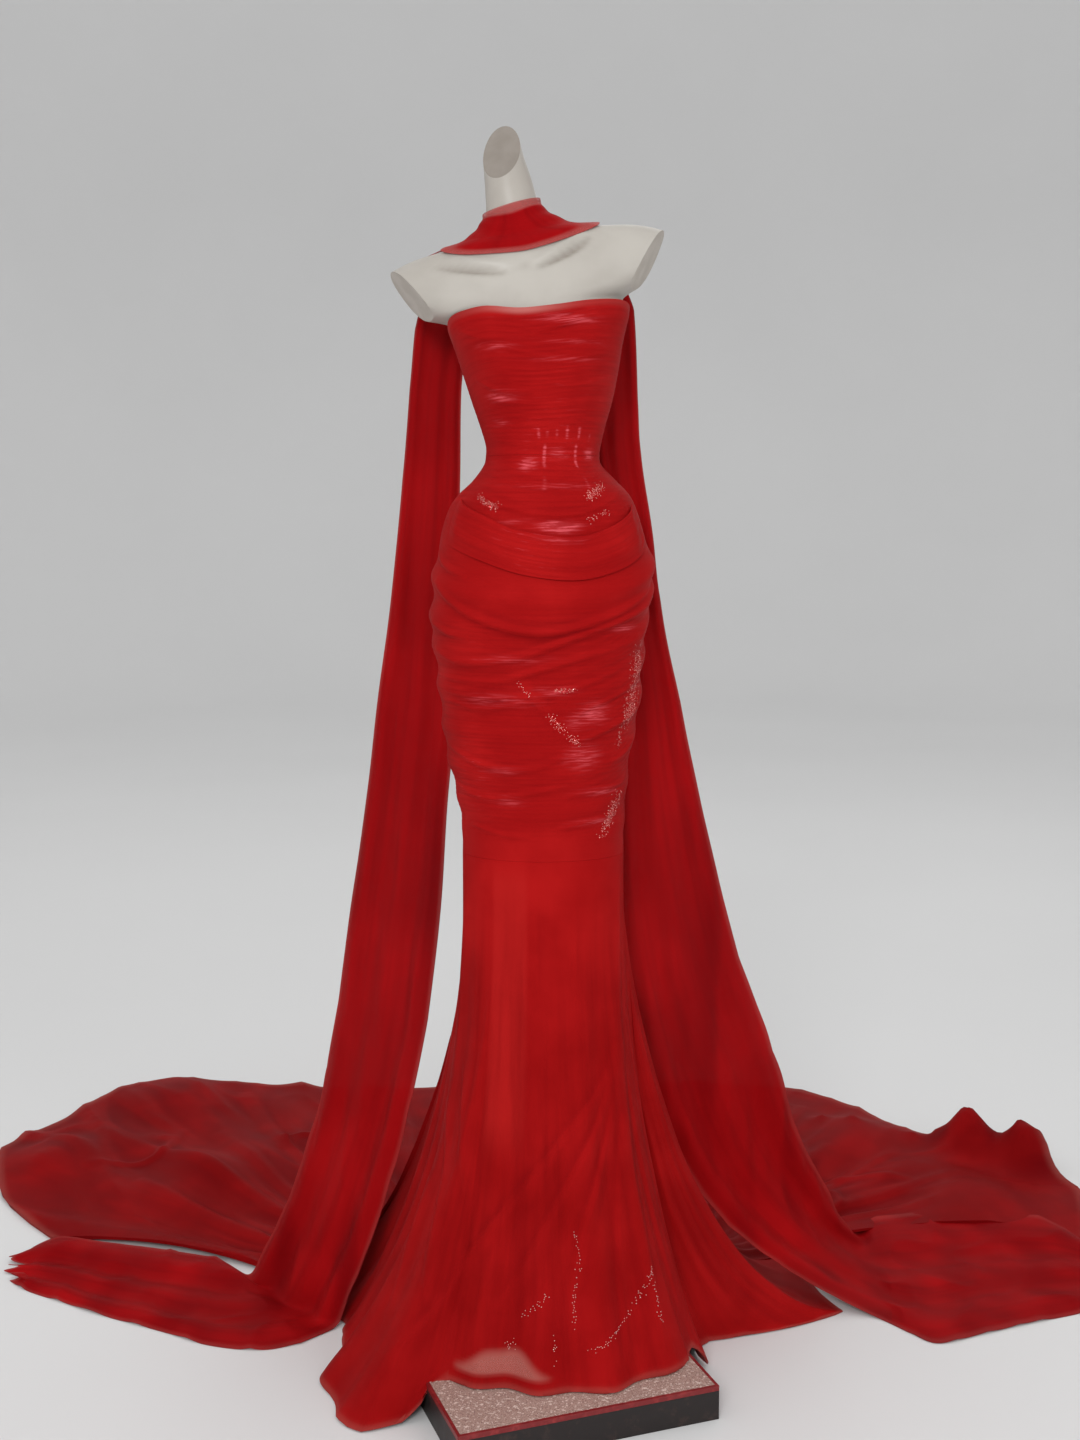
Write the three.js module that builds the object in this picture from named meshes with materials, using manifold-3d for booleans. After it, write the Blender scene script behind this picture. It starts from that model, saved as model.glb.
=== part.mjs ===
// Mermaid evening dress and its scarf on a limbless dress form, standing on a low plinth.
// Millimetres, +Z up, the front faces -Y. The origin is on the plinth's underside, below the form's axis.
// Angles are in degrees round the form's axis: 0 is the front, 90 the right and 180 the back.
import * as THREE from 'three';
import { mergeVertices } from 'three/addons/utils/BufferGeometryUtils.js';
import Module from 'manifold-3d';

const wasm = await Module();
wasm.setup();

// Driving sizes
const CLOTH = 2;
const SEAM_GAP = 0.3;
const FORM_INSET = 4.5;
const WAIST_Z = 1487;
const KNEE_Z = 857;
const TORSO_FOOT_Z = 930;
const CUP = { angle: 34, spread: 24, z: 1622, height: 52, rise: 8 };
const RUCHE_RISE = 1.6;
const SWAG_WIDTH = 34;
const SCARF_CLEARANCE = 2.4;
const SCARF_WALL = 1.6;
const POLE_RADIUS = 17;
const FLANGE = { radius: 62, height: 6 };
const PLINTH = {
  width: 425, depth: 560, x: -17, y: -25, turn: 20,
  boardHeight: 46.7, plateHeight: 8, trimWidth: 5,
};
const PLINTH_TOP = PLINTH.boardHeight + SEAM_GAP + PLINTH.plateHeight;
const NECK_CUT = { point: [-60, -8, 1948], normal: [-0.5, -0.55, 0.67] };
const LEFT_STUB_CUT = { point: [-193, 0, 1722], normal: [-0.77, -0.24, -0.58] };
const RIGHT_STUB_CUT = { point: [163, 0, 1776], normal: [0.89, -0.22, -0.41] };

// The dress round the body: a section for each height, front and back depths from the axis.
const BODY = [
  { z: 857, centre: 5, half: 130, front: 92, back: 96 },
  { z: 903, centre: 5, half: 129, front: 94, back: 98 },
  { z: 974, centre: 1, half: 137, front: 100, back: 104 },
  { z: 1021, centre: -2, half: 145, front: 103, back: 108 },
  { z: 1103, centre: 0, half: 157, front: 107, back: 116 },
  { z: 1150, centre: -1, half: 160, front: 109, back: 122 },
  { z: 1209, centre: -2, half: 167, front: 111, back: 130 },
  { z: 1260, centre: 2, half: 170, front: 113, back: 134 },
  { z: 1318, centre: 6, half: 168, front: 113, back: 130 },
  { z: 1364, centre: 4, half: 160, front: 110, back: 122 },
  { z: 1405, centre: 4, half: 147, front: 104, back: 110 },
  { z: 1427, centre: 6, half: 134, front: 99, back: 103 },
  { z: 1448, centre: 7, half: 113, front: 92, back: 94 },
  { z: 1473, centre: 4, half: 92, front: 84, back: 85 },
  { z: 1487, centre: 4, half: 89, front: 82, back: 82 },
  { z: 1503, centre: 5, half: 90, front: 82, back: 82 },
  { z: 1534, centre: 4, half: 98, front: 87, back: 85 },
  { z: 1569, centre: 3, half: 109, front: 98, back: 89 },
  { z: 1618, centre: 0, half: 122, front: 109, back: 95 },
  { z: 1658, centre: -4, half: 132, front: 110, back: 98 },
  { z: 1680, centre: -8, half: 141, front: 109, back: 98 },
  { z: 1702, centre: -9, half: 147, front: 106, back: 98 },
  { z: 1730, centre: -9, half: 149, front: 100, back: 96 },
];

// The bodice's upper edge, lower under the arms.
const BODICE_TOP = [
  { phi: -180, z: 1672 }, { phi: -135, z: 1660 }, { phi: -100, z: 1648 }, { phi: -90, z: 1651 },
  { phi: -76, z: 1672 }, { phi: -66, z: 1690 }, { phi: -57, z: 1698 }, { phi: -46, z: 1703 },
  { phi: -30, z: 1708 }, { phi: -8, z: 1704 },
  { phi: 12, z: 1709 }, { phi: 35, z: 1718 }, { phi: 60, z: 1722 }, { phi: 78, z: 1719 },
  { phi: 92, z: 1711 }, { phi: 135, z: 1690 }, { phi: 180, z: 1672 },
];

// Swags gathered across the skirt: heights at the left side, the middle and the right side.
const SWAGS = [
  { left: 1302, middle: 1268, right: 1322, rise: 7 },
  { left: 1240, middle: 1222, right: 1280, rise: 6 },
  { left: 1190, middle: 1166, right: 1232, rise: 4 },
  { left: 1128, middle: 1118, right: 1176, rise: 5 },
  { left: 1062, middle: 1060, right: 1118, rise: 4 },
  { left: 1004, middle: 996, right: 1048, rise: 4 },
  { left: 946, middle: 936, right: 976, rise: 3 },
  { left: 896, middle: 888, right: 914, rise: 2 },
];

// The cowl drape over the hips: its upper edge dips at the front.
const COWL = [
  { phi: -64, top: 1420, foot: 1352 }, { phi: -38, top: 1398, foot: 1330 },
  { phi: -10, top: 1372, foot: 1306 }, { phi: 18, top: 1364, foot: 1298 },
  { phi: 42, top: 1380, foot: 1312 }, { phi: 70, top: 1410, foot: 1340 },
];

// The flare and train by direction: where the cloth meets its rest, where the hem lies, how far the
// floor part swings round, how the fall and its bow are shaped, and the height that it rests on.
const FLARE = [
  { phi: -180, reach: 600, hem: 1290, swing: 0, fall: 1.7, bow: 1.6, rest: 0 },
  { phi: -168, reach: 600, hem: 1300, swing: 0, fall: 1.7, bow: 1.6, rest: 0 },
  { phi: -156, reach: 590, hem: 1390, swing: 0, fall: 1.7, bow: 1.6, rest: 0 },
  { phi: -144, reach: 580, hem: 1630, swing: 0, fall: 1.7, bow: 1.6, rest: 0 },
  { phi: -134, reach: 570, hem: 1530, swing: 0, fall: 1.7, bow: 1.6, rest: 0 },
  { phi: -128, reach: 560, hem: 1483, swing: 1.2, fall: 1.7, bow: 1.6, rest: 0 },
  { phi: -124, reach: 552, hem: 1260, swing: 4.6, fall: 1.7, bow: 1.6, rest: 0 },
  { phi: -120, reach: 545, hem: 1036, swing: 5.5, fall: 1.7, bow: 1.6, rest: 0 },
  { phi: -112, reach: 420, hem: 420, swing: 0, fall: 1.4, bow: 1.8, rest: 0 },
  { phi: -105, reach: 345, hem: 345, swing: 0, fall: 1.1, bow: 2, rest: 0 },
  { phi: -98, reach: 332, hem: 332, swing: 0, fall: 1, bow: 2.7, rest: 0 },
  { phi: -88, reach: 342, hem: 342, swing: 0, fall: 1, bow: 3, rest: 0 },
  { phi: -72, reach: 366, hem: 366, swing: 0, fall: 1, bow: 3.2, rest: 0 },
  { phi: -56, reach: 382, hem: 382, swing: 0, fall: 1, bow: 3.1, rest: 0 },
  { phi: -47, reach: 368, hem: 368, swing: 0, fall: 1, bow: 2.9, rest: 0 },
  { phi: -42, reach: 318, hem: 318, swing: 0, fall: 1, bow: 2.6, rest: 4 },
  { phi: -38, reach: 256, hem: 256, swing: 0, fall: 1, bow: 2.4, rest: 54 },
  { phi: -28, reach: 243, hem: 243, swing: 0, fall: 1, bow: 2.4, rest: 55 },
  { phi: -14, reach: 239, hem: 239, swing: 0, fall: 1, bow: 2.4, rest: 55 },
  { phi: 2, reach: 243, hem: 243, swing: 0, fall: 1, bow: 2.4, rest: 55 },
  { phi: 18, reach: 255, hem: 255, swing: 0, fall: 1, bow: 2.4, rest: 55 },
  { phi: 36, reach: 263, hem: 263, swing: 0, fall: 1, bow: 2.4, rest: 55 },
  { phi: 50, reach: 269, hem: 269, swing: 0, fall: 1, bow: 2.4, rest: 55 },
  { phi: 60, reach: 282, hem: 282, swing: 0, fall: 1, bow: 2.4, rest: 55 },
  { phi: 70, reach: 262, hem: 262, swing: 0, fall: 1, bow: 2.4, rest: 55 },
  { phi: 79, reach: 278, hem: 278, swing: 0, fall: 1, bow: 2.3, rest: 2 },
  { phi: 90, reach: 270, hem: 270, swing: 0, fall: 1, bow: 2.3, rest: 0 },
  { phi: 96, reach: 285, hem: 285, swing: 0, fall: 1.1, bow: 2.2, rest: 0 },
  { phi: 100, reach: 430, hem: 430, swing: 0, fall: 1.5, bow: 1.8, rest: 0 },
  { phi: 104, reach: 545, hem: 545, swing: 0, fall: 1.7, bow: 1.6, rest: 0 },
  { phi: 116, reach: 558, hem: 558, swing: 0, fall: 1.7, bow: 1.6, rest: 0 },
  { phi: 128, reach: 560, hem: 1140, swing: -16.4, fall: 1.7, bow: 1.6, rest: 0 },
  { phi: 131, reach: 562, hem: 1308, swing: -10, fall: 1.7, bow: 1.6, rest: 0 },
  { phi: 135, reach: 565, hem: 1345, swing: -5, fall: 1.7, bow: 1.6, rest: 0 },
  { phi: 141, reach: 570, hem: 1240, swing: -2, fall: 1.7, bow: 1.6, rest: 0 },
  { phi: 150, reach: 580, hem: 1390, swing: -1, fall: 1.7, bow: 1.6, rest: 0 },
  { phi: 156, reach: 590, hem: 1420, swing: 0, fall: 1.7, bow: 1.6, rest: 0 },
  { phi: 168, reach: 600, hem: 1330, swing: 0, fall: 1.7, bow: 1.6, rest: 0 },
  { phi: 180, reach: 600, hem: 1290, swing: 0, fall: 1.7, bow: 1.6, rest: 0 },
];
const TRAIN_LEFT_PHI = -120;
const FLARE_LEFT_PHI = -40;
const FLARE_RIGHT_PHI = 62;
const TRAIN_RIGHT_PHI = 128;

// Places where the cloth on the floor rises in a heap.
const HEAPS = [
  { x: -700, y: 720, rise: 34, spread: 130 },
  { x: -1010, y: 830, rise: 30, spread: 110 },
  { x: -870, y: 1180, rise: 30, spread: 130 },
  { x: 700, y: 900, rise: 30, spread: 140 },
  { x: 935, y: 860, rise: 66, spread: 62 },
  { x: 1040, y: 800, rise: 62, spread: 58 },
  { x: 880, y: 600, rise: 30, spread: 110 },
];

// The form's shoulders and neck: tilted sections by the height of their middle.
const SHOULDERS = [
  { v: 1690, centre: -4, shift: 0, half: 129, front: 97, back: 91, tilt: 7 },
  { v: 1700, centre: -6, shift: 0, half: 134, front: 95, back: 90, tilt: 7.5 },
  { v: 1710, centre: -8, shift: 1, half: 139, front: 91, back: 88, tilt: 8.5 },
  { v: 1724, centre: -11, shift: 2, half: 174, front: 86, back: 86, tilt: 9 },
  { v: 1745, centre: -18, shift: 5, half: 216, front: 79, back: 79, tilt: 8.4 },
  { v: 1770, centre: -22, shift: 7, half: 238, front: 70, back: 71, tilt: 8 },
  { v: 1789, centre: -23, shift: 9, half: 232, front: 62, back: 64, tilt: 8 },
  { v: 1799, centre: -24, shift: 11, half: 207, front: 58, back: 60, tilt: 8 },
  { v: 1812, centre: -27, shift: 12, half: 172, front: 54, back: 56, tilt: 8.4 },
  { v: 1826, centre: -31, shift: 13, half: 132, front: 50, back: 52, tilt: 9.4 },
  { v: 1838, centre: -35, shift: 14, half: 96, front: 47, back: 48, tilt: 11 },
  { v: 1848, centre: -38, shift: 15, half: 70, front: 44, back: 46, tilt: 13 },
  { v: 1860, centre: -42, shift: 15, half: 50, front: 41, back: 43, tilt: 16 },
  { v: 1874, centre: -45, shift: 15, half: 40, front: 39, back: 41, tilt: 18 },
  { v: 1900, centre: -49, shift: 14, half: 35.5, front: 37, back: 39, tilt: 18 },
  { v: 1935, centre: -56, shift: 10, half: 31, front: 35, back: 37, tilt: 16 },
  { v: 1975, centre: -63, shift: 6, half: 28, front: 33, back: 35, tilt: 14 },
  { v: 2015, centre: -70, shift: 2, half: 27, front: 32, back: 34, tilt: 12 },
];
const TORSO_TILT = [{ v: 1600, tilt: 0 }, { v: 1640, tilt: 4 }, { v: 1672, tilt: 6.2 }, { v: 1690, tilt: 7 }];
const TORSO_HEIGHTS = [
  965, 1010, 1060, 1110, 1160, 1210, 1260, 1310, 1350, 1385, 1410, 1430, 1450, 1470, 1487,
  1505, 1535, 1570, 1605, 1640, 1672,
];

// The scarf's wrap: its lower edge on the shoulders, by direction.
const WRAP_FOOT = [
  { phi: -180, v: 1808 }, { phi: -155, v: 1802 }, { phi: -130, v: 1804 }, { phi: -90, v: 1820 },
  { phi: -62, v: 1818 }, { phi: -48, v: 1812 }, { phi: -24, v: 1799 }, { phi: -9, v: 1790 },
  { phi: 0, v: 1787 }, { phi: 8, v: 1792 }, { phi: 24, v: 1803 }, { phi: 49, v: 1818 },
  { phi: 75, v: 1830 }, { phi: 100, v: 1830 }, { phi: 130, v: 1812 }, { phi: 155, v: 1806 },
  { phi: 180, v: 1808 },
];
const WRAP_TOP_V = 1874;
const LEFT_FALL_PHI = { outer: -140, inner: -170 };
const RIGHT_FALL_PHI = { outer: 140, inner: 170 };

// Each fall hangs behind the shoulder and opens out towards the floor: its two edges by height.
const LEFT_FALL = [
  { z: 1745, outerX: -188, outerY: 100, innerX: -98, innerY: 106 },
  { z: 1692, outerX: -203, outerY: 115, innerX: -116, innerY: 118 },
  { z: 1600, outerX: -213, outerY: 123, innerX: -128, innerY: 118 },
  { z: 1451, outerX: -227, outerY: 130, innerX: -131, innerY: 118 },
  { z: 1270, outerX: -247, outerY: 142, innerX: -137, innerY: 124 },
  { z: 1085, outerX: -274, outerY: 155, innerX: -140, innerY: 118 },
  { z: 909, outerX: -298, outerY: 170, innerX: -155, innerY: 104 },
  { z: 729, outerX: -327, outerY: 190, innerX: -168, innerY: 98 },
  { z: 544, outerX: -356, outerY: 210, innerX: -190, innerY: 88 },
  { z: 417, outerX: -380, outerY: 224, innerX: -215, innerY: 78 },
  { z: 342, outerX: -398, outerY: 234, innerX: -234, innerY: 70 },
  { z: 235, outerX: -430, outerY: 247, innerX: -264, innerY: 62 },
  { z: 163, outerX: -456, outerY: 256, innerX: -288, innerY: 62 },
  { z: 100, outerX: -484, outerY: 262, innerX: -312, innerY: 66 },
  { z: 45, outerX: -512, outerY: 266, innerX: -334, innerY: 72 },
  { z: 0, outerX: -534, outerY: 268, innerX: -350, innerY: 78 },
];
const RIGHT_FALL = [
  { z: 1772, outerX: 130, outerY: 92, innerX: 50, innerY: 102 },
  { z: 1724, outerX: 152, outerY: 110, innerX: 80, innerY: 116 },
  { z: 1581, outerX: 160, outerY: 122, innerX: 95, innerY: 118 },
  { z: 1500, outerX: 166, outerY: 128, innerX: 100, innerY: 118 },
  { z: 1369, outerX: 186, outerY: 138, innerX: 110, innerY: 126 },
  { z: 1253, outerX: 202, outerY: 146, innerX: 122, innerY: 134 },
  { z: 1075, outerX: 239, outerY: 158, innerX: 126, innerY: 130 },
  { z: 853, outerX: 289, outerY: 182, innerX: 122, innerY: 126 },
  { z: 622, outerX: 350, outerY: 214, innerX: 140, innerY: 136 },
  { z: 438, outerX: 418, outerY: 252, innerX: 178, innerY: 156 },
  { z: 340, outerX: 450, outerY: 278, innerX: 210, innerY: 168 },
  { z: 278, outerX: 470, outerY: 298, innerX: 240, innerY: 176 },
  { z: 200, outerX: 505, outerY: 325, innerX: 285, innerY: 182 },
  { z: 140, outerX: 537, outerY: 350, innerX: 336, innerY: 180 },
  { z: 95, outerX: 556, outerY: 366, innerX: 396, innerY: 168 },
  { z: 48, outerX: 578, outerY: 384, innerX: 478, innerY: 146 },
  { z: 0, outerX: 594, outerY: 398, innerX: 588, innerY: 117 },
];
const FALL_FOLD = { top: 2, foot: 13, waves: 3 };
const TAIL = { clearance: 0.6, ridge: 8 };

// Each tail lies on the floor from the foot of its fall: its near and far edges.
const LEFT_TAIL = [
  { nearX: -405, nearY: 22, farX: -580, farY: 286 },
  { nearX: -470, nearY: 0, farX: -645, farY: 308 },
  { nearX: -560, nearY: 16, farX: -732, farY: 336 },
  { nearX: -655, nearY: 66, farX: -800, farY: 353 },
  { nearX: -772, nearY: 124, farX: -866, farY: 368 },
  { nearX: -860, nearY: 176, farX: -915, farY: 380 },
  { nearX: -926, nearY: 222, farX: -952, farY: 356 },
  { nearX: -972, nearY: 274, farX: -984, farY: 314 },
];
const RIGHT_TAIL = [
  { nearX: 632, nearY: 62, farX: 640, farY: 407 },
  { nearX: 676, nearY: 22, farX: 700, farY: 422 },
  { nearX: 760, nearY: 54, farX: 780, farY: 434 },
  { nearX: 850, nearY: 92, farX: 870, farY: 432 },
  { nearX: 940, nearY: 126, farX: 955, farY: 420 },
  { nearX: 1020, nearY: 160, farX: 1025, farY: 398 },
  { nearX: 1090, nearY: 206, farX: 1090, farY: 350 },
];

const rad = THREE.MathUtils.degToRad;
const clamp = THREE.MathUtils.clamp;

// The colour, roughness and metalness of each material
const tulle = new THREE.MeshStandardMaterial({ color: 0xa3141c, roughness: 0.7, metalness: 0 });
const scarfTulle = new THREE.MeshStandardMaterial({ color: 0xb01820, roughness: 0.75, metalness: 0 });
const formGloss = new THREE.MeshStandardMaterial({ color: 0xe8e4dc, roughness: 0.25, metalness: 0 });
const poleSteel = new THREE.MeshStandardMaterial({ color: 0xb8babc, roughness: 0.3, metalness: 1 });
const boardPaint = new THREE.MeshStandardMaterial({ color: 0x17100f, roughness: 0.5, metalness: 0 });
const plateStone = new THREE.MeshStandardMaterial({ color: 0xcfb5ab, roughness: 0.6, metalness: 0 });
const trimPaint = new THREE.MeshStandardMaterial({ color: 0x6e1517, roughness: 0.4, metalness: 0 });

// A smooth curve through one column of a table against another.
function curve(table, from, to) {
  const xs = table.map((row) => row[from]);
  const ys = table.map((row) => row[to]);
  const slopes = ys.map((_, i) => {
    const before = Math.max(i - 1, 0);
    const after = Math.min(i + 1, ys.length - 1);
    return (ys[after] - ys[before]) / (xs[after] - xs[before]);
  });
  return (x) => {
    let i = 0;
    while (i < xs.length - 2 && x > xs[i + 1]) i += 1;
    const width = xs[i + 1] - xs[i];
    const t = clamp((x - xs[i]) / width, 0, 1);
    const start = (1 + 2 * t) * (1 - t) * (1 - t) * ys[i];
    const end = t * t * (3 - 2 * t) * ys[i + 1];
    const leave = t * (1 - t) * (1 - t) * width * slopes[i];
    const arrive = t * t * (t - 1) * width * slopes[i + 1];
    return start + end + leave + arrive;
  };
}

// A straight-line reading of one column of a table against another.
function steps(table, from, to) {
  return (x) => {
    let i = 0;
    while (i < table.length - 2 && x > table[i + 1][from]) i += 1;
    const t = clamp((x - table[i][from]) / (table[i + 1][from] - table[i][from]), 0, 1);
    return THREE.MathUtils.lerp(table[i][to], table[i + 1][to], t);
  };
}

function bell(distance, spread) {
  return Math.exp(-((distance / spread) ** 2));
}

function range(from, to, count) {
  return Array.from({ length: count + 1 }, (_, i) => THREE.MathUtils.lerp(from, to, i / count));
}

// Turns triangles so that the closed body's faces point out.
function facingOut(positions, triangles) {
  let volume = 0;
  for (const [a, b, c] of triangles) {
    volume += positions[a].dot(new THREE.Vector3().crossVectors(positions[b], positions[c]));
  }
  const turned = volume < 0 ? triangles.map(([a, b, c]) => [a, c, b]) : triangles;
  const geometry = new THREE.BufferGeometry();
  const flat = positions.flatMap((point) => [point.x, point.y, point.z]);
  geometry.setAttribute('position', new THREE.Float32BufferAttribute(flat, 3));
  geometry.setIndex(turned.flat());
  return geometry;
}

// A closed wall between an outer and an inner grid of points; a ring's columns close on themselves.
function wallGeometry(outer, inner, ring = false) {
  const rows = outer.length;
  const columns = outer[0].length;
  const positions = [...outer.flat(), ...inner.flat()];
  const outerAt = (i, j) => i * columns + (j % columns);
  const innerAt = (i, j) => rows * columns + outerAt(i, j);
  const triangles = [];
  const quad = (a, b, c, d) => triangles.push([a, b, c], [a, c, d]);
  const spans = ring ? columns : columns - 1;
  for (let i = 0; i < rows - 1; i += 1) {
    for (let j = 0; j < spans; j += 1) {
      quad(outerAt(i, j), outerAt(i, j + 1), outerAt(i + 1, j + 1), outerAt(i + 1, j));
      quad(innerAt(i, j), innerAt(i + 1, j), innerAt(i + 1, j + 1), innerAt(i, j + 1));
    }
    if (!ring) {
      quad(outerAt(i, 0), outerAt(i + 1, 0), innerAt(i + 1, 0), innerAt(i, 0));
      quad(outerAt(i, spans), innerAt(i, spans), innerAt(i + 1, spans), outerAt(i + 1, spans));
    }
  }
  for (let j = 0; j < spans; j += 1) {
    quad(outerAt(0, j), innerAt(0, j), innerAt(0, j + 1), outerAt(0, j + 1));
    quad(outerAt(rows - 1, j), outerAt(rows - 1, j + 1), innerAt(rows - 1, j + 1), innerAt(rows - 1, j));
  }
  return facingOut(positions, triangles);
}

// A solid through rings of points, closed by a fan at its two ends.
function loftGeometry(rings) {
  const columns = rings[0].length;
  const positions = rings.flat();
  const triangles = [];
  for (let i = 0; i < rings.length - 1; i += 1) {
    for (let j = 0; j < columns; j += 1) {
      const a = i * columns + j;
      const b = i * columns + ((j + 1) % columns);
      triangles.push([a, b, b + columns], [a, b + columns, a + columns]);
    }
  }
  const middle = (ring) => {
    const sum = ring.reduce((total, point) => total.add(point), new THREE.Vector3());
    return sum.divideScalar(ring.length);
  };
  const foot = positions.push(middle(rings[0])) - 1;
  const head = positions.push(middle(rings[rings.length - 1])) - 1;
  const last = (rings.length - 1) * columns;
  for (let j = 0; j < columns; j += 1) {
    const next = (j + 1) % columns;
    triangles.push([foot, next, j], [head, last + j, last + next]);
  }
  return facingOut(positions, triangles);
}

// A point of a surface moved out along its normal. The first argument runs round the axis and the
// second runs down the surface.
function movedOut(surface, a, b, distance, stepA, stepB) {
  const point = surface(a, b);
  const along = surface(a + stepA, b).sub(surface(a - stepA, b));
  const down = surface(a, b + stepB).sub(surface(a, b - stepB));
  const normal = new THREE.Vector3().crossVectors(down, along).normalize();
  return point.addScaledVector(normal, distance);
}

function toManifold(geometry) {
  const bare = geometry.clone();
  bare.deleteAttribute('normal');
  bare.deleteAttribute('uv');
  const merged = mergeVertices(bare, 1e-4);
  const vertProperties = new Float32Array(merged.attributes.position.array);
  const triVerts = new Uint32Array(merged.index.array);
  return new wasm.Manifold(new wasm.Mesh({ numProp: 3, vertProperties, triVerts }));
}

function fromManifold(solid) {
  const mesh = solid.getMesh();
  const geometry = new THREE.BufferGeometry();
  geometry.setAttribute('position', new THREE.BufferAttribute(new Float32Array(mesh.vertProperties), 3));
  geometry.setIndex(new THREE.BufferAttribute(new Uint32Array(mesh.triVerts), 1));
  return geometry;
}

// The largest body that is left of a geometry when a tool solid is cut away.
function cut(geometry, tool) {
  const bodies = toManifold(geometry).subtract(tool).decompose();
  bodies.sort((a, b) => b.volume() - a.volume());
  return fromManifold(bodies[0]);
}

// A large block behind a plane, which cuts away what lies beyond it.
function beyondPlane({ point, normal }) {
  const size = 600;
  const block = new THREE.BoxGeometry(size, size, size);
  block.translate(0, 0, size / 2);
  const turn = new THREE.Quaternion();
  turn.setFromUnitVectors(new THREE.Vector3(0, 0, 1), new THREE.Vector3(...normal).normalize());
  block.applyQuaternion(turn);
  block.translate(...point);
  return toManifold(block);
}

function polar(phi, radius, z = 0) {
  return new THREE.Vector3(Math.sin(rad(phi)) * radius, -Math.cos(rad(phi)) * radius, z);
}

const girth = {
  centre: curve(BODY, 'z', 'centre'),
  half: curve(BODY, 'z', 'half'),
  front: curve(BODY, 'z', 'front'),
  back: curve(BODY, 'z', 'back'),
};
const bodiceTop = curve(BODICE_TOP, 'phi', 'z');

function cups(phi, z) {
  const sides = bell(phi - CUP.angle, CUP.spread) + bell(phi + CUP.angle, CUP.spread);
  return CUP.rise * sides * bell(z - CUP.z, CUP.height);
}

// The plain surface of the dress from the waist up and down to the knee.
function body(phi, z, out = 0) {
  const across = Math.sin(rad(phi));
  const ahead = Math.cos(rad(phi));
  const depth = (ahead > 0 ? girth.front(z) : girth.back(z)) + cups(phi, z) + out;
  return new THREE.Vector3(girth.centre(z) + (girth.half(z) + out) * across, -depth * ahead, z);
}

// How far the gathered swags stand out of the skirt.
function swags(phi, z) {
  const side = clamp(phi / 90, -1, 1);
  const behind = Math.abs(phi) > 90 ? 0.6 : 1;
  let out = 0;
  for (const { left, middle, right, rise } of SWAGS) {
    const edge = side < 0 ? left : right;
    const height = THREE.MathUtils.lerp(middle, edge, side * side);
    out = Math.max(out, behind * rise * (0.6 + 0.6 * side * side) * bell(z - height, SWAG_WIDTH / 2));
  }
  return out;
}

// Narrows a span of angles by half a seam gap at each end, at a given radius.
function seamed(from, to, radius) {
  const half = THREE.MathUtils.radToDeg(SEAM_GAP / 2 / radius);
  return [from + half, to - half];
}

function bodicePanel(fromPhi, toPhi, columns, rows) {
  const [start, end] = seamed(fromPhi, toPhi, girth.front(WAIST_Z));
  const angles = range(start, end, columns);
  const outer = [];
  const inner = [];
  for (let i = 0; i <= rows; i += 1) {
    const raised = i % 2 === 1 ? RUCHE_RISE : 0;
    const heights = angles.map((phi) => {
      const foot = WAIST_Z + SEAM_GAP / 2;
      return THREE.MathUtils.lerp(foot, bodiceTop(phi), i / rows);
    });
    outer.push(angles.map((phi, j) => body(phi, heights[j], raised)));
    inner.push(angles.map((phi, j) => body(phi, heights[j], -CLOTH)));
  }
  return wallGeometry(outer, inner);
}

function skirtPanel(fromPhi, toPhi, columns, rows) {
  const [start, end] = seamed(fromPhi, toPhi, girth.front(WAIST_Z));
  const angles = range(start, end, columns);
  const heights = range(KNEE_Z + SEAM_GAP / 2, WAIST_Z - SEAM_GAP / 2, rows);
  const outer = heights.map((z) => angles.map((phi) => body(phi, z, swags(phi, z))));
  const inner = heights.map((z) => angles.map((phi) => body(phi, z, -CLOTH)));
  return wallGeometry(outer, inner);
}

// The cowl lies on the skirt: it is made from the skirt's points, moved out.
function cowlGeometry() {
  const top = curve(COWL, 'phi', 'top');
  const foot = curve(COWL, 'phi', 'foot');
  const angles = range(COWL[0].phi, COWL[COWL.length - 1].phi, 10);
  const layer = (gap) => range(0, 1, 5).map((t) => angles.map((phi) => {
    const z = THREE.MathUtils.lerp(foot(phi), top(phi), t);
    return body(phi, z, swags(phi, z) + gap);
  }));
  const lift = 1.5;
  return wallGeometry(layer(lift + CLOTH), layer(lift));
}

const flareAt = {
  reach: steps(FLARE, 'phi', 'reach'),
  hem: steps(FLARE, 'phi', 'hem'),
  swing: steps(FLARE, 'phi', 'swing'),
  fall: steps(FLARE, 'phi', 'fall'),
  bow: steps(FLARE, 'phi', 'bow'),
  rest: steps(FLARE, 'phi', 'rest'),
};

// How far the train's cloth stands up from the floor.
function floorLift(x, y, phi, share) {
  const heaps = HEAPS.reduce((sum, heap) => {
    return sum + heap.rise * bell(Math.hypot(x - heap.x, y - heap.y), heap.spread);
  }, 0);
  const ridges = 7 + 7 * Math.cos(rad(phi * 45));
  const ramp = Math.sin(Math.PI * clamp(share, 0, 1));
  return heaps * Math.sqrt(clamp(share * 3, 0, 1)) + ridges * ramp;
}

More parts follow.
